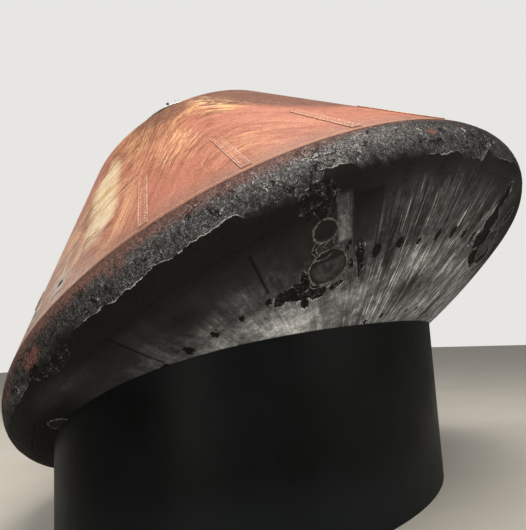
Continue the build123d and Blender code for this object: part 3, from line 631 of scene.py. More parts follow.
def plug_spots(finish, angle, reach, grit):
    """Dark uneven spots, one to each plug of the rings."""
    spots = 0.0
    for ring, count, size in PLUG_RINGS:
        pitch = 360 / count
        turns = (angle - PLUG_FIRST) / pitch
        number = turns.maths("ROUND")
        chance = finish.step("ShaderNodeTexWhiteNoise", {"W": number}, noise_dimensions="1D")
        side = (turns - number) * (math.radians(pitch) * ring)
        out = (reach - (chance * 0.024 + (ring - 0.012))) * 0.75
        away = (side * side + out * out).maths("SQRT") + (grit * 2.4 - 1.2) * size
        own_size = (chance * 0.6 + 0.55) * size
        spot = (away - own_size).fade(-0.002, 0.002, 1.0, 0.0)
        spots = spot.maths("MAXIMUM", spots)
    return spots


def charred_finish():
    """Material of both shield skins, from noise and the fields that charred_skin writes."""
    char = Finish("charred_ablator", Specular_IOR_Level=0.10)
    place, angle, reach, level = char.round_place()
    above, lost, tone, torn = [char.field(name) for name in ("above_tear", "lost", "tone", "torn")]
    cloud = char.noise(place, 5.0, 8.0, 0.62)
    smudge = char.noise(place, 22.0, 6.0, 0.66)
    grit = char.noise(place, 70.0, 4.0, 0.70)
    sand = char.noise(place, 150.0, 2.0, 0.60)
    surface = char.step("ShaderNodeUVMap", {}, uv_map="surface")
    numbers = {"Vector": surface, "Scale": 100.0, "Randomness": 0.35}
    cells = char.step("ShaderNodeTexVoronoi", numbers, feature="DISTANCE_TO_EDGE")
    broad = char.strokes(angle, reach, 3.2, 0.70, 4.0, 0.3)
    middle = char.strokes(angle, reach + 3.0, 1.2, 0.42, 2.5, 0.15)
    thin = char.strokes(angle, reach + 7.0, 0.5, 0.34, 1.2, 0.1)
    vein = char.noise(place, 8.0, 6.0, 0.6, 0.6) - 0.5
    crackled = cloud.fade(0.44, 0.54)

    live = tone.fade(0.0, 0.55, 0.1, 1.0)
    swing = cloud.spread() * 0.26 + smudge.spread(0.2) * 0.32 + broad.spread() * 0.26 - 0.53
    swing += grit.spread(0.25) * 0.2 + sand.fade(0.6, 0.68) * 0.16
    # tone brings in the pale middle and the reaches, partly painted light and shade.
    dish = swing * live + tone
    # Paler within a ragged edge towards the middle of the dish on its left; like the pale middle,
    # partly painted light from the floor's bounce near the plinth.
    pale_inner_reach = (smudge * 0.16 + cloud * 0.16 + reach).fade(1.632, 1.612) * angle.fade(42.0, 37.0)
    dish += pale_inner_reach * angle.fade(-45.0, -20.0, 0.0, 0.15)
    streaked = tone.fade(0.12, 0.45) * angle.fade(46.0, 60.0, 0.25, 1.0)
    for pattern, low, high, amount in (
        (middle, 0.56, 0.66, 0.14),
        (thin, 0.61, 0.65, 0.36),
        (middle, 0.43, 0.34, -0.26),
        (thin, 0.40, 0.34, -0.22),
    ):
        dish += pattern.fade(low, high) * streaked * amount
    spots = plug_spots(char, angle, reach, grit)
    dish = dish - char.field("seam") * 0.35 - spots * 0.85

    rim = sand.spread(0.2) * 0.54 + grit.spread(0.22) * 0.5 + smudge.spread(0.2) * 0.24 + RIM_TONE
    crack = abs(vein).fade(0.02, 0.006) * crackled
    chipped = vein.band(0.03, 0.009, 0.5) * smudge.fade(0.48, 0.56) * crackled
    cell_wall = cells.fade(0.0, 0.16, 1.0, 0.0)
    rim += chipped * 0.42 - crack * 0.36 + cell_wall * above.fade(0.07, 0.02, 0.08, 0.3)
    # Painted light and the char's own tone: the paler reaches also lighten the rim.
    rim += tone.maths("MAXIMUM", 0.0)
    soft_cells = (smudge * 0.1 + above - 0.035).fade(-0.01, 0.07)
    open_cells = char.mix(torn, soft_cells, above.fade(-0.003, 0.004))
    whole = dish + (rim - dish) * open_cells

    ragged = smudge * 0.8 + grit * 0.85 + lost
    broken = ragged.fade(0.81, 0.87)
    crumbs = grit.fade(0.5, 0.6) * 0.55 + sand.fade(0.52, 0.6) * 0.42
    crumbs *= angle.fade(82.0, 90.0, 1.0, 0.3)
    pit = crumbs * smudge.fade(0.42, 0.56, 0.25, 1.0) - 0.16
    whole += (pit - whole) * broken
    brim = ragged.band(0.79, 0.03, 0.8) * smudge.fade(0.47, 0.56)
    brim *= lost.fade(-0.8, -0.3) * angle.fade(4.0, 18.0, 0.2, 1.0)
    whole += brim * 0.6
    thickness = smudge * 0.012 - 0.0044
    tear = (abs(grit * 0.02 + above - 0.01) - thickness).fade(-0.0006, 0.0008, 1.0, 0.0) * torn
    whole += (1.0 - whole) * tear
    low, high = CHAR_TONES[0][0], CHAR_TONES[-1][0]
    on_scale = (whole - low) / (high - low)
    colour = on_scale.ramp([((at - low) / (high - low), shade) for at, shade in CHAR_TONES])
    colour = char.mix(open_cells, colour, RIM_TINT, "MULTIPLY")

    red_edge = smudge * 1.6 + grit * 1.8 + char.field("red") - 2.3
    top_edge = (level + angle.fade(60.0, 38.0, 0.0, 0.06) + grit * 0.16).fade(0.7, 0.755)
    reds = red_edge.fade(0.0, 0.5).maths("MAXIMUM", top_edge * 0.8)
    red_colour = char.mix(sand.spread(0.2), CHAR_RED, CHAR_SALMON)
    colour = char.mix(reds * grit.fade(0.36, 0.6, 0.25, 0.85), colour, red_colour)

    plug_red = spots * cloud.fade(0.42, 0.55, 0.05, 0.3)
    colour = char.mix(plug_red, colour, PLUG_RED)

    bump = grit * 0.6 + smudge * 0.5 + sand * 0.4 + tear * 0.8 - spots * 1.2
    bump += (cell_wall * 0.35 - crack * 0.9) * open_cells
    depth = above.fade(-0.02, 0.01, 0.3, 1.0).maths("MAXIMUM", broken)
    char.relief(bump * depth, 0.009, 0.9)
    return char.wear(colour, grit.fade(0.3, 0.7, 0.7, 0.95))


char_material = charred_finish()
dish_inner = np.linspace(0.0, DISH_FINE_FROM, DISH_INNER_ROWS, endpoint=False)
dish_outer = np.linspace(DISH_FINE_FROM, DISH_LENGTH, DISH_OUTER_ROWS)
dish_along = np.concatenate([dish_inner, dish_outer])
dish = charred_skin("shield_dish_skin", dish_along, skin_angles(*DISH_COLUMNS), False)
dish.data.materials.append(char_material)
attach(dish, "capsule")
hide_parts("aft_heat_shield")

rim_along = np.linspace(DISH_LENGTH, DISH_LENGTH + CORNER_RADIUS * CORNER_SWEEP, RIM_ROWS)
rim = charred_skin("shield_rim_skin", rim_along, skin_angles(*RIM_COLUMNS), True)
rim.data.materials.append(char_material)
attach(rim, "capsule")
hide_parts("heat_shield_rim")

# Tie pads: discs of the same ablator let into wells over the shield's ties, a large one and a
# small one at each station, bonded in with filler. Inside the large pad's edge a dark ring is
# painted shadow, where the pad sits down in its well.
PAD_EDGE_SHADOW = (0.008, 0.007, 0.006)
PAD_NOTCH = (0.006, 0.005, 0.004)
LARGE_PAD_TONES = (
    (0.34, (0.0085, 0.0083, 0.0077)), (0.52, (0.027, 0.027, 0.0255)), (0.72, (0.06, 0.06, 0.057))
)
SMALL_PAD_TONES = ((0.35, (0.0042, 0.0031, 0.0026)), (0.7, (0.0105, 0.008, 0.0067)))
pad_finish = Finish("charred_tie_pad", Specular_IOR_Level=0.15)
pad_place, pad_angle, pad_reach, _ = pad_finish.round_place()
pad_cloud = pad_finish.noise(pad_place, 26.0, 6.0, 0.65)
pad_grit = pad_finish.noise(pad_place, 120.0, 3.0, 0.65)
large_colour = pad_cloud.ramp(LARGE_PAD_TONES)
pad_turns = (pad_angle - PAD_FIRST_ANGLE) / (360 / PAD_STATIONS)
pad_across = (pad_turns - pad_turns.maths("ROUND")) * (2 * math.pi / PAD_STATIONS * PAD_ROWS[0][0])
pad_out = pad_reach - PAD_ROWS[0][0]
pad_away = (pad_out * pad_out + pad_across * pad_across).maths("SQRT") + pad_cloud * 0.03
# Painted shadow: a dark ring just inside the large pad's edge.
large_colour = pad_finish.mix(pad_away.fade(0.092, 0.108) * 0.85, large_colour, PAD_EDGE_SHADOW)
notch = (pad_grit * 0.05 + pad_reach).fade(1.575, 1.59)
large_colour = pad_finish.mix(notch * 0.9, large_colour, PAD_NOTCH)
is_small = pad_reach.fade(1.65, 1.651)
pad_finish.relief(pad_grit, 0.003, 0.8)
pad_colour = pad_finish.mix(is_small, large_colour, pad_cloud.ramp(SMALL_PAD_TONES))
dress(pad_finish.wear(pad_colour, 0.85), "shield_tie_pads")

# Beads of pale filler round the tie pads, squeezed out where the ties were drawn tight,
# with strands from the large pad to the small one.
BEAD_RADIUS = 0.0033
THINNER = 0.5  # share of that radius at all stations but the first
BEAD_POINTS = 145
BEAD_TONES = (
    (0.25, (0.02, 0.019, 0.017)), (0.55, (0.1, 0.098, 0.09)), (0.95, (0.26, 0.255, 0.235))
)
BEAD_RINGS = (  # across and along from the large pad's middle, radius, wander, thickness share
    (0.0, 0.0, 0.11, 0.01, 1.0), (0.002, -0.002, 0.121, 0.016, 0.6),
    (-0.002, 0.002, 0.104, 0.005, 0.5), (0.0, 0.2245, 0.062, 0.003, 1.0),
    (0.0, 0.225, 0.069, 0.006, 0.5),
)
BEAD_STRANDS = (  # across and along from the large pad's middle, first to last
    ((-0.062, 0.098), (-0.082, 0.135), (-0.058, 0.178)),
    ((-0.055, 0.102), (-0.06, 0.14), (-0.03, 0.166)),
    ((0.058, 0.102), (0.03, 0.138), (0.05, 0.176)),
    ((0.002, 0.112), (-0.018, 0.14), (0.004, 0.158)),
    ((-0.09, -0.068), (-0.125, -0.092), (-0.15, -0.082)),
    ((0.07, -0.09), (0.052, -0.14), (0.066, -0.185)),
    ((0.03, -0.108), (0.02, -0.15), (0.034, -0.17)),
    ((0.04, 0.092), (-0.02, 0.06), (-0.08, 0.075)),
)
large_pad_along = SPHERE_RADIUS * math.asin(PAD_ROWS[0][0] / SPHERE_RADIUS)


def tubes(paths, radius, facets=8):
    """Grids of round bars along paths of equal count: p(s) + radius (u cos a + v sin a),
    with u and v square to the path, and both ends drawn in to a point."""
    paths = np.asarray(paths, float)
    paths = paths[None] if paths.ndim == 2 else paths
    ahead = np.gradient(paths, axis=1)
    ahead /= np.linalg.norm(ahead, axis=2, keepdims=True)
    mean = np.abs(ahead.mean(axis=1, keepdims=True))
    helper = np.eye(3)[np.argmin(mean, axis=2)]
    u = np.cross(helper, ahead)
    u /= np.linalg.norm(u, axis=2, keepdims=True)
    v = np.cross(ahead, u)
    turn = np.linspace(0, 2 * math.pi, facets, endpoint=False)
    circle = u[:, :, None] * np.cos(turn)[:, None] + v[:, :, None] * np.sin(turn)[:, None]
    radius = np.broadcast_to(radius, paths.shape[:2])[:, :, None, None]
    body = paths[:, :, None] + circle * radius
    first = paths[:, :1, None] + 0 * body[:, :1]
    last = paths[:, -1:, None] + 0 * body[:, -1:]
    return np.concatenate([first, body, last], axis=1)


def piece_of(name, grids, finish, body="capsule"):
    """Joins closed grids of the capsule's frame into one piece that rides on a body."""
    piece = sheet_mesh(name, stand(grids), closed_across=True, poles=(True, True))
    piece.data.materials.append(finish)
    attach(piece, body)
    return piece


def on_dish(angle, across, along):
    """Points of the dish at distances across and along the skin from a large pad's middle."""
    length = large_pad_along + along
    radius, height, _, _ = shield_outline(length)
    turn = np.radians(angle) + across / radius
    return np.stack([radius * np.cos(turn), radius * np.sin(turn), height], axis=-1)


bead_grids = []
for station in range(PAD_STATIONS):
    station_angle = PAD_FIRST_ANGLE + 360 / PAD_STATIONS * station
    bead = BEAD_RADIUS * (1.0 if station == 0 else THINNER)
    for across, along, bead_ring, wander, share in BEAD_RINGS:
        turn = np.linspace(0.0, 2 * math.pi, BEAD_POINTS)
        circle = np.stack([np.cos(turn), np.sin(turn), 0 * turn + station + bead_ring * 9], axis=-1)
        wave = rough(circle, 0.7, 5, 31)
        lumps = rough(circle, 0.14, 2, 33)
        reach = bead_ring + wander * wave
        path = on_dish(station_angle, across + reach * np.cos(turn), along + reach * np.sin(turn))
        thickness = bead * share * np.clip(0.95 + 0.4 * wave + 1.1 * lumps, 0.12, 2.4)
        bead_grids.append(tubes(path, thickness, 6))
    for strand in BEAD_STRANDS:
        share = np.linspace(0, 2, BEAD_POINTS)
        across = np.interp(share, range(3), [point[0] for point in strand])
        along = np.interp(share, range(3), [point[1] for point in strand])
        course = np.stack([across, along, 0 * along + station], axis=-1)
        wave = rough(course, 0.03, 4, 32)
        lumps = rough(course, 0.010, 2, 34)
        path = on_dish(station_angle, across + 0.004 * wave, along + 0.004 * wave)
        thickness = bead * np.clip(0.65 + 0.3 * wave + 0.8 * lumps, 0.12, 2.0)
        bead_grids.append(tubes(path, thickness, 6))
bead_finish = Finish("pale_filler", Specular_IOR_Level=0.3)
bead_grain = bead_finish.noise(bead_finish.own_place(), 160.0, 5.0, 0.7)
bead_colour = bead_grain.spread(0.2).ramp(BEAD_TONES)
bead_finish.relief(bead_grain, 0.002, 0.7)
bead_material = bead_finish.wear(bead_colour, 0.85)
piece_of("shield_filler_beads", np.concatenate(bead_grids), bead_material)

# Side wall: panels of phenolic ablator bonded and screwed on, scorched salmon and brown, with
# gold and cream wisps where the flow licked them, the cream band partly a painted highlight,
# and joint strips over their seams. The cabin's inner faces are painted grey-green.
WALL_SALMON = (0.43, 0.150, 0.092)
WALL_ROSE = (0.52, 0.200, 0.140)
WALL_DEEP = (0.27, 0.085, 0.048)
WALL_TAN = (0.36, 0.140, 0.066)
WALL_BROWN = (0.15, 0.058, 0.028)
WALL_MAUVE = (0.086, 0.037, 0.027)
WALL_GREY = (0.27, 0.155, 0.120)
WALL_GOLD = (0.80, 0.46, 0.22)
WALL_PALE_GOLD = (0.88, 0.58, 0.32)
WALL_CREAM_HIGHLIGHT = (0.86, 0.72, 0.48)
WALL_SILVER = (0.62, 0.54, 0.46)
WALL_HONEY = (0.66, 0.40, 0.19)
WALL_PALE_FLECK = (0.80, 0.52, 0.40)
WALL_DARK_FLECK = (0.12, 0.045, 0.030)
WALL_LINE = (0.11, 0.035, 0.026)
CABIN_PAINT = (0.32, 0.35, 0.32)
CABIN_SHADE = (0.22, 0.245, 0.225)
MAUVE_OVALS = (  # angle, height, half angle, half height, amount
    (67.0, 1.85, 14.0, 0.66, 1.3), (54.0, 1.95, 10.0, 0.3, 1.3), (30.0, 2.06, 14.0, 0.26, 0.7),
    (120.0, 1.8, 18.0, 0.4, 0.8), (-40.0, 1.9, 20.0, 0.3, 0.7), (-160.0, 1.8, 15.0, 0.4, 0.8),
)
TAN_OVALS = (
    (47.0, 1.61, 8.0, 0.12, 0.9), (24.0, 2.0, 22.0, 0.42, 1.0), (2.0, 1.2, 9.0, 0.5, 0.8),
    (150.0, 1.9, 22.0, 0.4, 1.0), (-100.0, 1.95, 30.0, 0.35, 1.0),
)
GOLD_OVALS = (
    (29.5, 1.38, 6.5, 0.28, 1.0), (18.0, 1.38, 5.0, 0.2, 0.8), (46.0, 1.8, 6.0, 0.24, 1.0),
    (20.0, 1.75, 9.0, 0.24, 0.8), (16.0, 1.0, 6.0, 0.28, 0.9), (43.0, 0.95, 9.0, 0.2, 0.45),
    (6.0, 1.3, 9.0, 0.6, 0.8), (138.0, 1.5, 14.0, 0.4, 1.0), (-20.0, 1.5, 14.0, 0.5, 0.8),
    (-135.0, 1.4, 16.0, 0.5, 0.9),
)
# Cream band: partly pale scorch and partly a painted highlight, where a lamp's reflection would lie on
# the wall's left; the last row lies on the far side.
CREAM_HIGHLIGHT_OVALS = (
    (9.4, 1.54, 5.2, 0.26, 1.0), (10.6, 1.33, 4.8, 0.24, 1.05), (11.6, 1.12, 4.2, 0.24, 1.0),
    (12.6, 0.97, 2.2, 0.12, 0.6), (168.0, 1.5, 6.0, 0.4, 0.8),
)
JOINT_LINES = (  # height, how pale or dark, last angle from +X
    (1.182, -1.0, 180.0), (0.666, -1.0, 24.5), (0.682, 1.0, 180.0),
)
UPRIGHT_LINES = (  # angle, first height, last height
    (9.0, 0.69, 1.17), (171.0, 0.69, 1.17),
)
ARC_MIDDLE = 41.0
ARC_RISE = 0.0022
ARC_MOST = 1.4


def scorched_wall_finish():
    """Side wall: colour by place round and up the wall, strokes along the flow, a cream band
    that is partly a painted highlight, joint lines.
    """
    wall = Finish("scorched_wall", Specular_IOR_Level=0.22)
    place, angle, reach, level = wall.round_place()
    cloud = wall.noise(place, 3.2, 6.0, 0.62)
    mottle = wall.noise(place, 17.0, 6.0, 0.66)
    grit = wall.noise(place, 110.0, 3.0, 0.65)
    from_arc = angle - ARC_MIDDLE
    wander = cloud * 0.12 - 0.06
    arcs = level + (from_arc * from_arc * ARC_RISE).maths("MINIMUM", ARC_MOST) + wander
    flat = level - angle * 0.008 + wander
    high_left = angle.fade(24.0, 18.0) * level.fade(1.0, 1.2)
    brushed = []
    for shape in ((0.085, 12.0, 5.0, 0.4), (0.060, 9.0, 4.0, 0.9), (0.022, 5.0, 3.0, 0.6)):
        on_arcs, level_on = [wall.strokes(course, angle, *shape) for course in (arcs, flat)]
        brushed.append((level_on - on_arcs) * high_left + on_arcs)
    brush, lines, hairs = brushed
    upright = wall.strokes(angle, level, 1.1, 0.40, 4.0, 0.5)
    wisps = abs(lines - 0.5).fade(0.03, 0.01) * brush.fade(0.46, 0.56)

    tone = cloud.spread() * 0.34 + brush.spread() * 0.36 + mottle.spread() * 0.28
    tone += hairs.spread(0.25) * 0.1 - 0.05
    colour = tone.ramp([(0.12, WALL_DEEP), (0.4, WALL_SALMON), (0.8, WALL_ROSE)])
    ruffled = cloud * 0.5 + brush * 0.3 - 0.4
    tan = (wall.ovals(angle, level, TAN_OVALS) + ruffled).fade(0.15, 0.85)
    tan_colour = tone.ramp([(0.15, WALL_BROWN), (0.5, WALL_TAN), (0.85, WALL_GOLD)])
    colour = wall.mix(tan * 0.8, colour, tan_colour)
    mauve = (wall.ovals(angle, level, MAUVE_OVALS) + ruffled).fade(0.1, 0.9)
    colour = wall.mix(mauve * 0.82, colour, WALL_MAUVE)

    where = wall.ovals(angle, level, GOLD_OVALS)
    dark_lines = lines.fade(0.45, 0.34) * (where * 0.55 + 0.22)
    colour = wall.mix(dark_lines, colour, WALL_BROWN)
    bright = lines.fade(0.56, 0.64).maths("MAXIMUM", hairs.fade(0.58, 0.64) * 0.8)
    bright = bright.maths("MAXIMUM", wisps * 0.9) * (where * 0.85 + 0.06)
    colour = wall.mix(bright, colour, WALL_GOLD)
    left_low = angle.fade(18.0, 10.0) * level.fade(1.2, 0.95)
    colour = wall.mix(left_low * 0.44, colour, WALL_BROWN)
    streaks = upright.fade(0.55, 0.63) * left_low
    colour = wall.mix(streaks * 0.55, colour, WALL_GOLD)

    fine_brush = wall.strokes(arcs, angle, 0.030, 5.0, 2.0, 0.8)
    scribble = fine_brush.fade(0.605, 0.645) * where.fade(0.35, 0.9)
    colour = wall.mix(scribble * 0.8, colour, WALL_PALE_GOLD)

    # Painted highlight, partly pale scorch: the cream band.
    cream_and_highlight = brush + hairs * 0.8 + wall.ovals(angle, level, CREAM_HIGHLIGHT_OVALS) - 1.15
    cream_highlight_colour = wall.mix(lines.fade(0.5, 0.4), WALL_CREAM_HIGHLIGHT, WALL_HONEY)
    colour = wall.mix(cream_and_highlight.fade(-0.02, 0.95, 0.0, 0.95), colour, cream_highlight_colour)
    silver = angle.fade(-2.0, -12.0) * angle.fade(-60.0, -30.0)
    silver *= brush.fade(0.44, 0.58) * mottle.fade(0.38, 0.6, 0.25, 0.7)
    colour = wall.mix(silver, colour, WALL_SILVER)
    foot = (grit * 0.24 + level).fade(0.98, 0.74)
    colour = wall.mix(foot * 0.75, colour, WALL_GREY)
    colour = wall.mix(grit.fade(0.56, 0.7, 0.0, 0.42), colour, WALL_PALE_FLECK)
    colour = wall.mix(grit.fade(0.45, 0.31, 0.0, 0.6), colour, WALL_DARK_FLECK)

    ridges = 0.0
    for height, sign, last in JOINT_LINES:
        line = level.band(height, 0.0028, 0.6) * angle.fade(last, last + 1.0, 1.0, 0.0)
        line *= mottle.fade(0.36, 0.48, 0.35, 0.85)
        line_colour = WALL_LINE if sign < 0 else WALL_GOLD
        colour = wall.mix(line * (0.75 if sign < 0 else 0.5), colour, line_colour)
        ridges += line * sign
    for at, first, last in UPRIGHT_LINES:
        line = angle.band(at, 0.09, 0.6)
        line *= level.band((first + last) / 2, (last - first) / 2, 0.01)
        colour = wall.mix(line * 0.6, colour, WALL_LINE)
        ridges -= line
    fallen = (level - CONE_START_Z) * math.tan(CONE_ANGLE)
    depth = (CONE_START_R - fallen - reach) * math.cos(CONE_ANGLE)
    paint = mottle.ramp([(0.34, CABIN_SHADE), (0.66, CABIN_PAINT)])
    colour = wall.mix(depth.fade(0.022, 0.03), colour, paint)
    wall.relief(grit * 0.5 + mottle * 0.6 + hairs * 0.3 + ridges * 0.8, 0.004, 0.7)
    return wall.wear(colour, mottle.fade(0.35, 0.65, 0.38, 0.6))


dress(
    scorched_wall_finish(),
    "crew_wall_hatch_side", "crew_wall_right", "crew_wall_left", "hatch_leaf", "panel_joint_strips",
    "lower_panel_right", "lower_panel_raised", "lower_panel_left", "lower_panel_hatch",
)

# Fasteners: flush screws in two columns on each joint strip, round each window frame and
# round the crew hatch, and the rolled edges of the strips, all scorched with the wall.
STRIP_ANGLES = (22.2, 37.9, 55.1, 73.0, 107.0, 124.9, 142.1, 157.8, 202.2, 235.1, 304.9, 337.8)
STRIP_LOW = CONE_START_Z + 0.029
STRIP_HIGH = PANEL_JOINT - 0.008
STRIP_WIDTH = 0.050
STRIP_RISE = 0.005
STRIP_EDGE = 0.0022
SCREW_RADIUS = 0.0042
SCREW_RISE = 0.0016
SCREW_PITCH = 0.030
SCREW_FACETS = 8
SCREW_SIDES = (-0.013, 0.013)
FRAME_ADDED = 0.044  # width that a window's frame adds
SCREW_TONES = ((0.2, (0.5, 0.31, 0.22)), (0.8, (0.8, 0.62, 0.5)))
SCREW_PROFILE = (
    (0, -0.002), (SCREW_RADIUS, -0.002), (SCREW_RADIUS, SCREW_RISE * 0.4),
    (SCREW_RADIUS * 0.6, SCREW_RISE), (0, SCREW_RISE),
)
HATCH_ANGLE = -90.0
HATCH_HEIGHT = 0.57 * PANEL_JOINT + 0.43 * EDGE_HEIGHT
HATCH_SIZE = (0.740, 0.861)
HATCH_CORNER = 0.110
HATCH_INSET = 0.035
HATCH_PITCH = 0.075
WINDOW_PITCH = 0.045
WINDOW_CORNER = 0.060
WINDOWS = (  # angle and height from the hatch, foot width, head width, length
    (-32.0, 0.15, 0.25, 0.15, 0.33), (32.0, 0.15, 0.25, 0.15, 0.33),
    (-60.0, -0.02, 0.33, 0.33, 0.33), (60.0, -0.02, 0.33, 0.33, 0.33),
)


def cone_radius(height):
    """Radius of the side wall's outer face at a height."""
    return CONE_START_R - (height - CONE_START_Z) * math.tan(CONE_ANGLE)


def wall_spot(angle, height, across=0.0, up=0.0, out=0.0):
    """Points on the side wall, out from it, and the directions square to it there. They
    stand off an angle and height by distances across and up the wall."""
    height = height + up * math.cos(CONE_ANGLE)
    radius = cone_radius(height)
    turn = np.radians(angle) + across / radius
    x, y, radius, height = np.broadcast_arrays(np.cos(turn), np.sin(turn), radius, height)
    level, rise = math.cos(CONE_ANGLE), math.sin(CONE_ANGLE)
    square = np.stack([level * x, level * y, rise + 0 * x], axis=-1)
    spot = np.stack([radius * x, radius * y, height], axis=-1)
    return spot + square * np.asarray(out)[..., None], square


def ring_of(places, square, profile, facets):
    """Grids of one turned shape at many places: r(a) = radius (u cos a + v sin a) + rise n,
    where n points out at the place and u, v are square to it."""
    places, square = places.reshape(-1, 3), square.reshape(-1, 3)
    helper = np.where(np.abs(square[:, 2:]) < 0.9, [[0.0, 0.0, 1.0]], [[1.0, 0.0, 0.0]])
    u = np.cross(helper, square)
    u /= np.linalg.norm(u, axis=1, keepdims=True)
    v = np.cross(square, u)
    turn = np.linspace(0, 2 * math.pi, facets, endpoint=False)
    radius, rise = np.array(profile, float).T
    circle = u[:, None] * np.cos(turn)[:, None] + v[:, None] * np.sin(turn)[:, None]
    return (
        places[:, None, None]
        + radius[:, None, None] * circle[:, None]
        + rise[:, None, None] * square[:, None, None]
    )


strip_length = (STRIP_HIGH - STRIP_LOW) / math.cos(CONE_ANGLE)
strip_middle = (STRIP_LOW + STRIP_HIGH) / 2
screw_up = np.arange(-strip_length / 2 + 0.02, strip_length / 2 - 0.01, SCREW_PITCH)
strip_turn, screw_side, screw_up = np.meshgrid(STRIP_ANGLES, SCREW_SIDES, screw_up, indexing="ij")
strip_spots = wall_spot(strip_turn, strip_middle, screw_side, screw_up, STRIP_RISE)
strip_grids = ring_of(*strip_spots, SCREW_PROFILE, SCREW_FACETS)
edge_turn, edge_side, edge_up = np.meshgrid(
    STRIP_ANGLES,
    (-STRIP_WIDTH / 2, STRIP_WIDTH / 2),
    np.linspace(-strip_length / 2, strip_length / 2, 3),
    indexing="ij",
)
edges, _ = wall_spot(edge_turn, strip_middle, edge_side, edge_up, STRIP_RISE - 0.001)
edge_grids = tubes(edges.reshape(-1, 3, 3), STRIP_EDGE, 6)


def rounded_outline(width, length, corner, pitch):
    """Points about a pitch apart round a rectangle with rounded corners."""
    straight_x, straight_y = width / 2 - corner, length / 2 - corner
    turn = np.linspace(0, math.pi / 2, 4)
    points = []
    for quarter, (sx, sy) in enumerate(((1, 1), (-1, 1), (-1, -1), (1, -1))):
        arc = turn + quarter * math.pi / 2
        x, y = sx * straight_x + corner * np.cos(arc), sy * straight_y + corner * np.sin(arc)
        points += list(zip(x, y))
    points = np.array(points + points[:1])
    lengths = np.append(0, np.cumsum(np.hypot(*np.diff(points, axis=0).T)))
    spots_along = np.linspace(0, lengths[-1], max(4, round(lengths[-1] / pitch)), endpoint=False)
    return np.stack([np.interp(spots_along, lengths, points[:, axis]) for axis in (0, 1)], axis=-1)


window_grids = []
for offset, lift, foot, head, length in WINDOWS:
    outline = rounded_outline(1.0, length + FRAME_ADDED, WINDOW_CORNER, WINDOW_PITCH)
    width = foot + (head - foot) * (outline[:, 1] / length + 0.5) + FRAME_ADDED
    across = outline[:, 0] * width
    spots = wall_spot(HATCH_ANGLE + offset, HATCH_HEIGHT + lift, across, outline[:, 1])
    window_grids.append(ring_of(*spots, SCREW_PROFILE, SCREW_FACETS))
hatch_width, hatch_length = [size - 2 * HATCH_INSET for size in HATCH_SIZE]
hatch_outline = rounded_outline(hatch_width, hatch_length, HATCH_CORNER - HATCH_INSET, HATCH_PITCH)
hatch_spots = wall_spot(HATCH_ANGLE, HATCH_HEIGHT, hatch_outline[:, 0], hatch_outline[:, 1])
hatch_grids = ring_of(*hatch_spots, SCREW_PROFILE, SCREW_FACETS)
screw_finish = Finish("scorched_screws", Metallic=0.3)
screw_grain = screw_finish.noise(screw_finish.own_place(), 60.0, 3.0)
screw_colour = screw_grain.spread().ramp(SCREW_TONES)
screw_material = screw_finish.wear(screw_colour, 0.5)
for name, grids, body in (
    ("strip_screws", strip_grids, "capsule"),
    ("strip_edges", edge_grids, "capsule"),
    ("window_screws", np.concatenate(window_grids), "capsule"),
    ("hatch_screws", hatch_grids, "crew_hatch"),
):
    piece_of(name, grids, screw_material, body)

# Bare metal fittings: tunnel, ring, deck, gussets, cans and frames welded and screwed from
# light alloy, and loop, rails, handle and hinges of steel, all dulled by salt and soot.
METAL_NODES = (
    "window_frames", "hatch_window_frame", "forward_deck", "docking_tunnel", "tunnel_hatch",
    "deck_gussets", "drogue_mortars", "pilot_mortars", "float_bag_cans", "couch_frame",
)
STEEL_NODES = (
    "recovery_loop", "handrails", "hatch_hinge_brackets", "hatch_hinge_arms", "hatch_handle",
)
METALS = {  # darkest and palest tarnish, smoothest and roughest gloss
    "salted_aluminium": ((0.24, 0.215, 0.175), (0.54, 0.51, 0.455), 0.42, 0.64),
    "ring_aluminium": ((0.26, 0.22, 0.17), (0.52, 0.47, 0.40), 0.30, 0.46),
    "worn_steel": ((0.20, 0.18, 0.16), (0.48, 0.46, 0.43), 0.30, 0.52),
    "rubbed_lip": ((0.46, 0.42, 0.38), (0.86, 0.82, 0.78), 0.30, 0.45),
}


def metal_finish(name):
    """Worn metal: tarnish clouds in colour and gloss, with a fine brushed relief."""
    dark, light, smooth, coarse = METALS[name]
    metal = Finish(name, Metallic=0.85)
    place = metal.own_place()
    cloud = metal.noise(place, 9.0, 6.0, 0.62)
    brush = metal.noise(place, 180.0, 3.0, 0.6)
    metal.relief(brush, 0.0008, 0.5)
    return metal.wear(cloud.ramp([(0.34, dark), (0.68, light)]), cloud.fade(0.3, 0.7, coarse, smooth))


bare_metal = metal_finish("salted_aluminium")
dress(bare_metal, *METAL_NODES)
dress(metal_finish("ring_aluminium"), "docking_ring")
dress(metal_finish("worn_steel"), *STEEL_NODES)

# Docking ring trim: a pale rubbed lip pressed round the ring, black steel latch blocks, and
# the frayed ends of a cut cable.
RING_RADIUS = 0.404
RING_TOP = EDGE_HEIGHT - 0.070 + 0.653
LATCH_ANGLES = (40.0, 130.0, 220.0, 310.0)
LATCH_HALF = (0.012, 0.011, 0.019)
LATCH_TONES = ((0.35, (0.008, 0.008, 0.008)), (0.7, (0.035, 0.032, 0.03)))
LIP_PROFILE = (
    (0.421, 2.6655), (0.439, 2.6655), (0.441, 2.6675), (0.441, 2.6710), (0.439, 2.6730), (0.421, 2.6730)
)
WIRE_RADIUS = 0.0012
WIRES = ((47.0, 0.020, 0.030), (49.0, -0.012, 0.022), (51.0, 0.030, 0.018))  # angle, lean, height
UPWARDS = np.array([0.0, 0.0, 1.0])


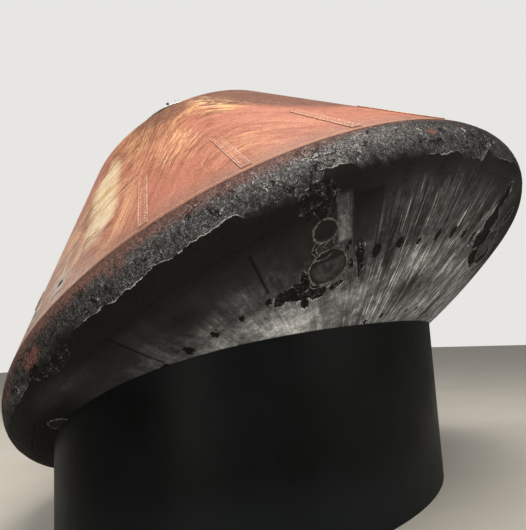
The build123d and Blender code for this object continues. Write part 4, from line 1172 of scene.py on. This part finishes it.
def blocks(places, half, directions, soft=0.25):
    """Grids of boxes with rounded corners: superellipse outline of half sizes across, up
    and out, in three steps from its foot to its face."""
    places = np.asarray(places, float).reshape(-1, 3)
    across, up, out = [np.broadcast_to(d, places.shape) for d in directions]
    turn = np.linspace(0, 2 * math.pi, 24, endpoint=False) + math.pi / 24
    x = np.sign(np.cos(turn)) * np.abs(np.cos(turn)) ** soft * half[0]
    y = np.sign(np.sin(turn)) * np.abs(np.sin(turn)) ** soft * half[1]
    bevel = min(half) * 0.25
    face = half[2]
    drawn_in = 1 - bevel / min(half[:2])
    steps = [(0, -face), (1, -face), (1, face - bevel), (drawn_in, face), (0, face)]
    share, rise = np.array(steps, float).T
    flat = across[:, None] * x[:, None] + up[:, None] * y[:, None]
    return (
        places[:, None, None]
        + share[:, None, None] * flat[:, None]
        + rise[:, None, None] * out[:, None, None]
    )


latch_turn = np.radians(LATCH_ANGLES)
latch_out = np.stack([np.cos(latch_turn), np.sin(latch_turn), 0 * latch_turn], axis=-1)
latch_across = np.stack([-np.sin(latch_turn), np.cos(latch_turn), 0 * latch_turn], axis=-1)
latch_places = latch_out * RING_RADIUS + UPWARDS * (RING_TOP + LATCH_HALF[2])
latch_grids = blocks(latch_places, LATCH_HALF, (latch_out, latch_across, UPWARDS))
latch_material = clouded("black_latch_steel", 80.0, 4.0, LATCH_TONES, Metallic=0.6, Roughness=0.45)
piece_of("docking_latches", latch_grids, latch_material)

lip_radius, lip_height = np.array(LIP_PROFILE).T
lip_grid = turned_grid(lip_radius, lip_height, np.linspace(0, 2 * math.pi, 180, endpoint=False))
lip = sheet_mesh("docking_ring_lip", stand(lip_grid), closed_across=True, closed_along=True)
lip.data.materials.append(metal_finish("rubbed_lip"))
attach(lip, "capsule")

wire_paths = []
for turn, lean, height in WIRES:
    rise = np.linspace(0, 1, 6)
    wire_turn = np.radians(turn + 3.0 * rise)
    x, y = [(RING_RADIUS + lean * rise**2) * side for side in (np.cos(wire_turn), np.sin(wire_turn))]
    wire_paths.append(np.stack([x, y, RING_TOP + height * rise - 0.002], axis=-1))
piece_of("frayed_wires", tubes(wire_paths, WIRE_RADIUS, 6), latch_material)

# Thruster cups, their plates, vents, antenna covers and the umbilical socket: pressed from
# heat-proof metal and screwed down flush in the wall, the cups thick with soot and the
# plates scorched.
SOOT_TONES = ((0.35, (0.02, 0.018, 0.016)), (0.7, (0.1, 0.085, 0.07)))
PLATE_TONES = ((0.32, (0.17, 0.11, 0.08)), (0.52, (0.3, 0.24, 0.19)), (0.72, (0.42, 0.37, 0.31)))
soot = clouded("nozzle_soot", 22.0, 5.0, SOOT_TONES, (0.002, 0.6), Roughness=0.8)
dress(soot, "thruster_nozzles")
plate = clouded("scorched_plate", 16.0, 6.0, PLATE_TONES, (0.002, 0.5), 0.6, Roughness=0.55)
dress(plate, "umbilical_socket", "thruster_plates", "wall_vents", "flush_antennas")

# Windows: thick heat-proof panes sealed into their frames, in the wall and in the hatch, left
# sooty and smeared by the descent.
GLASS_TONES = ((0.3, (0.45, 0.42, 0.36)), (0.7, (0.8, 0.8, 0.76)))
glass = Finish("sooty_glass", Roughness=0.12, Transmission_Weight=0.8, IOR=1.46)
smear = glass.noise(glass.own_place(), 12.0, 6.0, 0.65)
glass_material = glass.wear(smear.ramp(GLASS_TONES), smear.fade(0.3, 0.7, 0.05, 0.35))
dress(glass_material, "window_panes", "hatch_window_pane")

# Cabin: a floor of metal sheet, the console's case and the equipment bay, screwed to the
# frames behind the wall and sprayed with the cabin's grey-green paint.
CABIN_TONES = ((0.3, (0.2, 0.215, 0.2)), (0.7, (0.31, 0.33, 0.31)))
cabin = Finish("cabin_paint", Roughness=0.5)
cabin_cloud = cabin.noise(cabin.own_place(), 20.0, 5.0)
cabin.relief(cabin.noise(cabin.own_place(), 300.0, 2.0), 0.0006, 0.4)
cabin_material = cabin.wear(cabin_cloud.ramp(CABIN_TONES))
dress(cabin_material, "cabin_floor", "display_console", "equipment_bay")

# Console face and lockers: dials under glass, rows of guarded toggle switches, locker
# doors with turn latches. They face the hatch.
CONSOLE_FACE = 0.150
CONSOLE_FOOT = PANEL_JOINT + 0.380
LOCKER_FACE = 0.44 * MAX_RADIUS
LOCKER_FOOT = CONE_START_Z + 0.059
TO_HATCH = np.array([0.0, -1.0, 0.0])
SIDEWAYS = np.array([1.0, 0.0, 0.0])
DIALS = (  # place across and up the console's face, radius
    (-0.43, 0.155, 0.04), (-0.31, 0.155, 0.04), (-0.09, 0.15, 0.052), (0.09, 0.15, 0.052),
    (0.31, 0.155, 0.034), (0.4, 0.155, 0.034), (0.49, 0.155, 0.034),
)
DIAL_PROFILE = ((0, -0.002), (1, -0.002), (1, 0.006), (0.9, 0.008), (0.86, 0.003), (0, 0.003))
DIAL_TONES = ((0.35, (0.012, 0.012, 0.013)), (0.7, (0.05, 0.05, 0.052)))
SWITCH_ROWS = (0.030, 0.070, 0.215)
SWITCH_COLUMNS = np.arange(-0.53, 0.531, 0.032)
SWITCH_PROFILE = (
    (0, -0.002), (0.008, -0.002), (0.008, 0.003), (0.003, 0.005), (0.0025, 0.018), (0, 0.019)
)
DOOR_ROWS = (0.14, 0.42, 0.70)
DOOR_COLUMNS = (-0.525, -0.175, 0.175, 0.525)
DOOR_HALF = (0.160, 0.125, 0.008)
LATCH_FROM_DOOR = np.array([0.125, -0.008, 0.0])
TURN_LATCH_PROFILE = ((0, -0.002), (0.016, -0.002), (0.016, 0.006), (0.010, 0.009), (0, 0.009))


def face_places(columns, rows, face, foot):
    """Places of a grid of fittings on an upright face that looks to the hatch."""
    x, z = np.meshgrid(columns, rows, indexing="ij")
    return np.stack([x, 0 * x + face, foot + z], axis=-1).reshape(-1, 3)


dial_grids = []
for x, z, size in DIALS:
    dial_profile = [(share * size, rise) for share, rise in DIAL_PROFILE]
    dial_place = np.array([x, CONSOLE_FACE, CONSOLE_FOOT + z])
    dial_grids.append(ring_of(dial_place, TO_HATCH, dial_profile, 32))
switch_places = face_places(SWITCH_COLUMNS, SWITCH_ROWS, CONSOLE_FACE, CONSOLE_FOOT)
switch_grids = ring_of(switch_places, TO_HATCH + 0 * switch_places, SWITCH_PROFILE, 8)
door_places = face_places(DOOR_COLUMNS, DOOR_ROWS, LOCKER_FACE, LOCKER_FOOT)
door_grids = blocks(door_places, DOOR_HALF, (SIDEWAYS, UPWARDS, TO_HATCH), 0.12)
turn_places = door_places + LATCH_FROM_DOOR
turn_latches = ring_of(turn_places, TO_HATCH + 0 * turn_places, TURN_LATCH_PROFILE, 16)
dial_material = clouded("dial_faces", 30.0, 3.0, DIAL_TONES, Roughness=0.25)
piece_of("console_dials", np.concatenate(dial_grids), dial_material)
piece_of("console_switches", switch_grids, bare_metal)
piece_of("locker_doors", door_grids, cabin_material)
piece_of("locker_latches", turn_latches, bare_metal)

# Couches: three bent metal pans side by side, each with a back, thigh and leg pad of foam in
# woven cover, stitched into cross channels and laced to the pan.
COUCH_PITCH = 0.600
COUCH_BACK = LOCKER_FOOT + 0.260
COUCH_HALF_WIDTH = 0.270
COUCH_BENDS = ((-0.780, 0.0), (0.080, 0.0), (0.420, 0.240), (0.760, 0.120))  # y, rise over the back
PAN_THICKNESS = 0.008
PAD_HALF_WIDTH = 0.256
PAD_INSET = 0.012
PAD_THICKNESS = 0.052
PAD_CHANNELS = (7, 3, 3)
CHANNEL_DEPTH = 0.006
PAD_STEPS = 15
PAD_POINTS = 96
CLOTH_STAIN = (0.33, 0.31, 0.27)


def squared(turn, power=0.16):
    """Outline between a square and a circle: sign(c) |c|^p for the cosine and the sine."""
    c, s = np.cos(turn), np.sin(turn)
    return np.sign(c) * np.abs(c) ** power, np.sign(s) * np.abs(s) ** power


def pad_grid(middle, first, last, channels):
    """Pad over one straight of the pan: superellipse outline whose sides pull in by 4 % half
    way between corners, and thickness t (1 - e^5)^0.5, e from 0 at the middle to 1 at the
    edge, less a round-bottomed channel at each row of stitching."""
    first, last = [np.array([middle, y, COUCH_BACK + rise]) for y, rise in (first, last)]
    along = last - first
    half = np.linalg.norm(along) / 2
    along /= 2 * half
    out = np.array([0.0, -along[2], along[1]])
    x, y = squared(np.linspace(0, 2 * math.pi, PAD_POINTS, endpoint=False))
    pulled_x = x * (PAD_HALF_WIDTH - 0.010 * (1 - y**2))
    pulled_y = y * (half - PAD_INSET - 0.010 * (1 - x**2))
    edge = np.linspace(1, 0, PAD_STEPS) ** 0.7
    crown = 0.4 + 0.6 * np.sqrt(1 - edge**5)
    cross = edge[:, None] * pulled_y / half
    groove = CHANNEL_DEPTH * np.abs(np.cos(channels * math.pi / 2 * (cross + 1))) ** 24
    top = PAD_THICKNESS * crown[:, None] - groove * (edge < 0.995)[:, None]
    rows = np.concatenate([edge[::-1], edge])
    rise = np.concatenate([np.zeros((PAD_STEPS, PAD_POINTS)), top]) + PAN_THICKNESS
    flat = SIDEWAYS * pulled_x[:, None] + along * pulled_y[:, None]
    return (first + last) / 2 + rows[:, None, None] * flat + rise[..., None] * out


def pan_grid(middle):
    """Bent pan: its side line carried from one edge to the other, with rolled edges."""
    line = np.array([(middle, y, COUCH_BACK + rise) for y, rise in COUCH_BENDS])
    across = SIDEWAYS * COUCH_HALF_WIDTH
    lower = np.stack([line - across, line + across], axis=1)
    upper = lower + UPWARDS * PAN_THICKNESS
    outline = np.concatenate([lower[:, :1], upper[:, :1], upper[:, 1:], lower[:, 1:]], axis=1)
    first, last = outline[:1].mean(axis=1, keepdims=True), outline[-1:].mean(axis=1, keepdims=True)
    return np.concatenate([first + 0 * outline[:1], outline, last + 0 * outline[:1]])


cloth = Finish("couch_cloth", Roughness=0.9)
cloth_weave = cloth.noise(cloth.own_place(), 420.0, 2.0)
cloth_stain = cloth.noise(cloth.own_place(), 9.0, 5.0)
cloth.relief(cloth_weave, 0.0008, 0.6)
woven = cloth_weave.ramp([(0.3, (0.25, 0.23, 0.19)), (0.7, (0.48, 0.46, 0.41))])
cloth_material = cloth.wear(cloth.mix(cloth_stain, woven, CLOTH_STAIN))
for couch_name, side in (("couch_left", -1), ("couch_centre", 0), ("couch_right", 1)):
    straights = zip(COUCH_BENDS[:-1], COUCH_BENDS[1:], PAD_CHANNELS)
    pad_grids = np.stack([pad_grid(side * COUCH_PITCH, *straight) for straight in straights])
    couch_pads = piece_of(couch_name + "_pads", pad_grids, cloth_material)
    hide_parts(couch_name)
    pan = piece_of(couch_name + "_pan", pan_grid(side * COUCH_PITCH), bare_metal)
    pan.data.polygons.foreach_set("use_smooth", np.zeros(len(pan.data.polygons), bool))

# Recovery aids: whip antennas and a flashing lamp on the deck, that stand up after landing.
# Enamelled off-white metal, screwed down by their feet.
ENAMEL_TONES = ((0.3, (0.55, 0.52, 0.45)), (0.7, (0.74, 0.72, 0.66)))
enamel = clouded("aid_enamel", 25.0, 4.0, ENAMEL_TONES, (0.0008, 0.4), Roughness=0.4)
dress(enamel, "recovery_aids")
